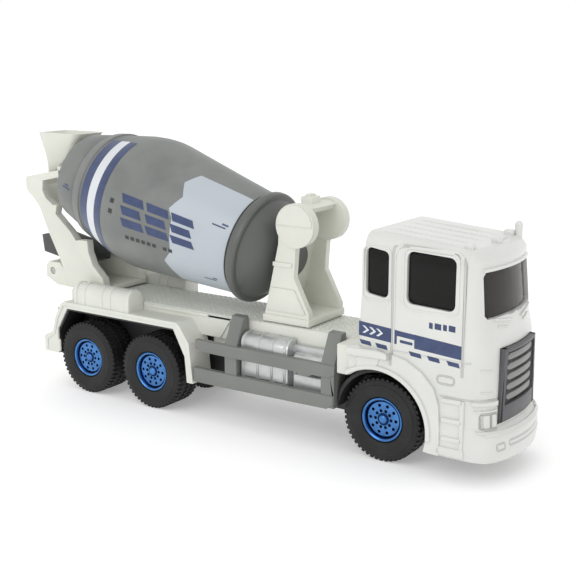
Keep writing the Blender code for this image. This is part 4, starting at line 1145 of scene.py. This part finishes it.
# The bands run most of the way round the right side, and again on the left
for far, word in ((False, "right"), (True, "left")):
    blue = [patch(36.6, 39.1, 22, 158), patch(42.1, 45.0, 20, 158)]
    # Three stacks of plain slanted bars
    for start in (31.0, 24.2, 17.4):
        for a0, a1, length, drop in ((71, 78, 5.8, 1.0), (81, 88, 5.2, 1.0), (91, 98, 5.8, 1.0)):
            shift = (a0 - 71) * 0.05
            right = start - shift
            left = right - length
            blue.append([(right, a0), (left, a0), (left - drop, a1), (right - drop, a1)])
    blue += [patch(50.2, 53.4, 90.5, 92.5), patch(51.0, 52.6, 87.0, 89.0)]
    blue += [patch(3.4, 6.9, 65.5, 67), patch(3.0, 4.6, 62.0, 64.0)]
    blue += [patch(4.6, 7.8, 129, 130.4), patch(4.2, 5.4, 126, 127.6)]
    printed_on_drum("drum_bands_" + word, blue, print_blue, 0.06, far=far)
    printed_on_drum("drum_white_band_" + word, [patch(39.1, 42.1, 21, 158)], print_white, 0.05, far=far)
    small = [patch(32.6, 33.8, 78, 82), patch(32.6, 33.8, 87, 91)]
    small += [patch(s, s + 1.0, 105.5, 109) for s in (27.4, 25.9, 24.4, 22.9, 21.4, 19.9, 17.0, 15.5)]
    printed_on_drum("drum_small_marks_" + word, small, print_black, 0.06, far=far)

panel_pale = moulded("panel_pale", srgb(181, 189, 196), 0.36, shade=0.03)
jagged = [
    (2.0, 22), (16.3, 25.2), (18.2, 40.5), (16.4, 54), (18.3, 68.5), (16.8, 76), (16.0, 108),
    (18.1, 120.7), (16.2, 140), (16.2, 152), (2.0, 158),
]
for far, word in ((False, "right"), (True, "left")):
    printed_on_drum("drum_panel_" + word, [jagged], panel_pale, 0.03, far=far)


# ---------------------------------------------------------------- drum pedestal
# The front stand is warm white plastic: a flanged foot, two tapered cheeks, a round water tank
# between two end discs with a filler on top, and a rear wall with the bearing hole.

stand_white = moulded("stand_white", srgb(219, 220, 210), 0.38, shade=0.03)
stand_white.feed("Subsurface Weight", 0.15)
stand_white.feed("Subsurface Radius", (0.002, 0.0018, 0.0012))
skin("drum_pedestal", "truck", stand_white, 0.3, 30, 3)
pieces = []
for side in (1, -1):
    cap = arc((15.8, 46.7), 4.6, 0, 180, 22)
    pieces.append(slab(cap, side, 7.3, 7.85, 0.2, 2))
    pieces.append(slab([(10.0, 37.4), (15.0, 37.4), (15.0, 38.4), (10.0, 38.4)], side, 6.9, 7.45, 0.15, 2))
    low, high = sorted((side * 6.9, side * 7.45))
    web = [(9.4, 32.6), (15.6, 32.6), (18.6, 27.4), (8.2, 27.4)]
    pieces.append(prism_shape(web, low, high - 0.2 * (side > 0), "Y", 0.15, 2))
pieces.append(box_shape((14.4, -1.1, 52.2), (15.8, 1.1, 52.9), 0.2))
trim = gathered("pedestal_trim", pieces, stand_white)
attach(trim, "truck")


# ---------------------------------------------------------------- rear support, hopper and chute
# The rear stand, in the same warm white, carries the drum's tail pin, the collector cup and the
# charging hopper. A dark grey discharge chute hangs on a steel pin in its fork, folded up.

skin("rear_support", "truck", stand_white, 0.3, 30, 3)
skin("loading_hopper", "truck", stand_white, 0.3, 30, 3)
chute_grey = moulded("chute_grey", srgb(72, 73, 71), 0.45)
skin("discharge_chute", "chute", chute_grey, 0.15)


# ---------------------------------------------------------------- side guards and tanks
# Mid grey side guards are moulded with their posts and clip to the deck. Behind each is a silver
# tank with strap bands, a small air reservoir and a battery box.

guard_grey = moulded("guard_grey", srgb(122, 124, 120), 0.4, shade=0.06)
silver = Finish("silver_plating", metallic=0.55, coat_weight=0.25)
streak = silver.noise(1.2, 3.0)
silver.feed("Base Color", silver.mix(streak, srgb(184, 187, 185), srgb(210, 212, 212)))
silver.feed("Roughness", streak * 0.16 + 0.24)
silver.bump(streak, 0.02)
for side, word in SIDES:
    skin("side_guard_" + word, "truck", guard_grey, 0.22)
    skin("fuel_tank_" + word, "truck", silver, 0.25)
    bands = []
    outline = [(side * 8.2, 11.7), (side * 11.75, 12.5)]
    outline += [(side * y, z) for y, z in arc((9.3, 19.9), 2.45, 0, 90, 10)] + [(side * 8.2, 22.35)]
    for x in (4.3, 8.4, 12.2, 15.6):
        bands.append(prism_shape(outline, x, x + 0.7, "X", 0.12, 1))
    straps = gathered("tank_straps_" + word, bands, silver)
    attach(straps, "truck")


# ---------------------------------------------------------------- studio
# A flat white floor, two large soft lights and a white surround that dims a little overhead. The
# camera stands off the right front corner and looks a little down.

floor_finish = Finish("studio_white", roughness=0.9, specular_ior_level=0.05, emission_strength=0.26)
soft = floor_finish.noise(60.0, 1.0)
floor_finish.feed("Base Color", floor_finish.mix(soft, srgb(240, 240, 240), srgb(243, 243, 243)))
floor_finish.feed("Emission Color", (1.0, 1.0, 1.0))
sheet = bmesh.new()
bmesh.ops.create_grid(sheet, x_segments=1, y_segments=1, size=6.0)
floor = shown("studio_floor", sheet, floor_finish)
floor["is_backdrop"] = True

scene = bpy.context.scene
world = bpy.data.worlds.new("studio")
world.use_nodes = True
sky = world.node_tree
height = sky.nodes.new("ShaderNodeSeparateXYZ")
sky.links.new(sky.nodes.new("ShaderNodeTexCoord").outputs["Generated"], height.inputs[0])
fade = sky.nodes.new("ShaderNodeMapRange")
sky.links.new(height.outputs["Z"], fade.inputs["Value"])
for socket, value in (("From Min", 0.2), ("From Max", 0.9), ("To Min", 1.02), ("To Max", 0.8)):
    fade.inputs[socket].default_value = value
sky.links.new(fade.outputs[0], sky.nodes["Background"].inputs["Strength"])
sky.nodes["Background"].inputs["Color"].default_value = (1.0, 1.0, 1.0, 1.0)
scene.world = world
scene.view_settings.view_transform = "Standard"


def soft_light(name, place, target, size, power):
    data = bpy.data.lights.new(name, "AREA")
    data.shape = "RECTANGLE"
    data.size, data.size_y = size
    data.energy = power
    lamp = placed(name, data)
    lamp.location = place
    lamp.rotation_euler = (Vector(target) - Vector(place)).to_track_quat("-Z", "Y").to_euler()


soft_light("key", (0.0, -0.5, 0.38), (0.0, 0.0, 0.03), (0.35, 0.3), 0.62)
soft_light("top", (-0.1, 0.05, 0.65), (0.0, 0.0, 0.03), (0.5, 0.4), 0.3)

camera_data = bpy.data.cameras.new("camera")
camera_data.lens = 64.95
camera_data.sensor_width = 36.0
camera_data.clip_start = 0.01
camera = placed("camera", camera_data)
camera.location = (0.13900, -0.18933, 0.08322)
yaw, pitch, roll = math.radians(34.471), math.radians(12.831), math.radians(-0.114)
turn = Matrix.Rotation(yaw, 4, "Z") @ Matrix.Rotation(math.pi / 2 - pitch, 4, "X")
turn = turn @ Matrix.Rotation(roll, 4, "Z")
camera.rotation_euler = turn.to_euler()
scene.camera = camera

low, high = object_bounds()
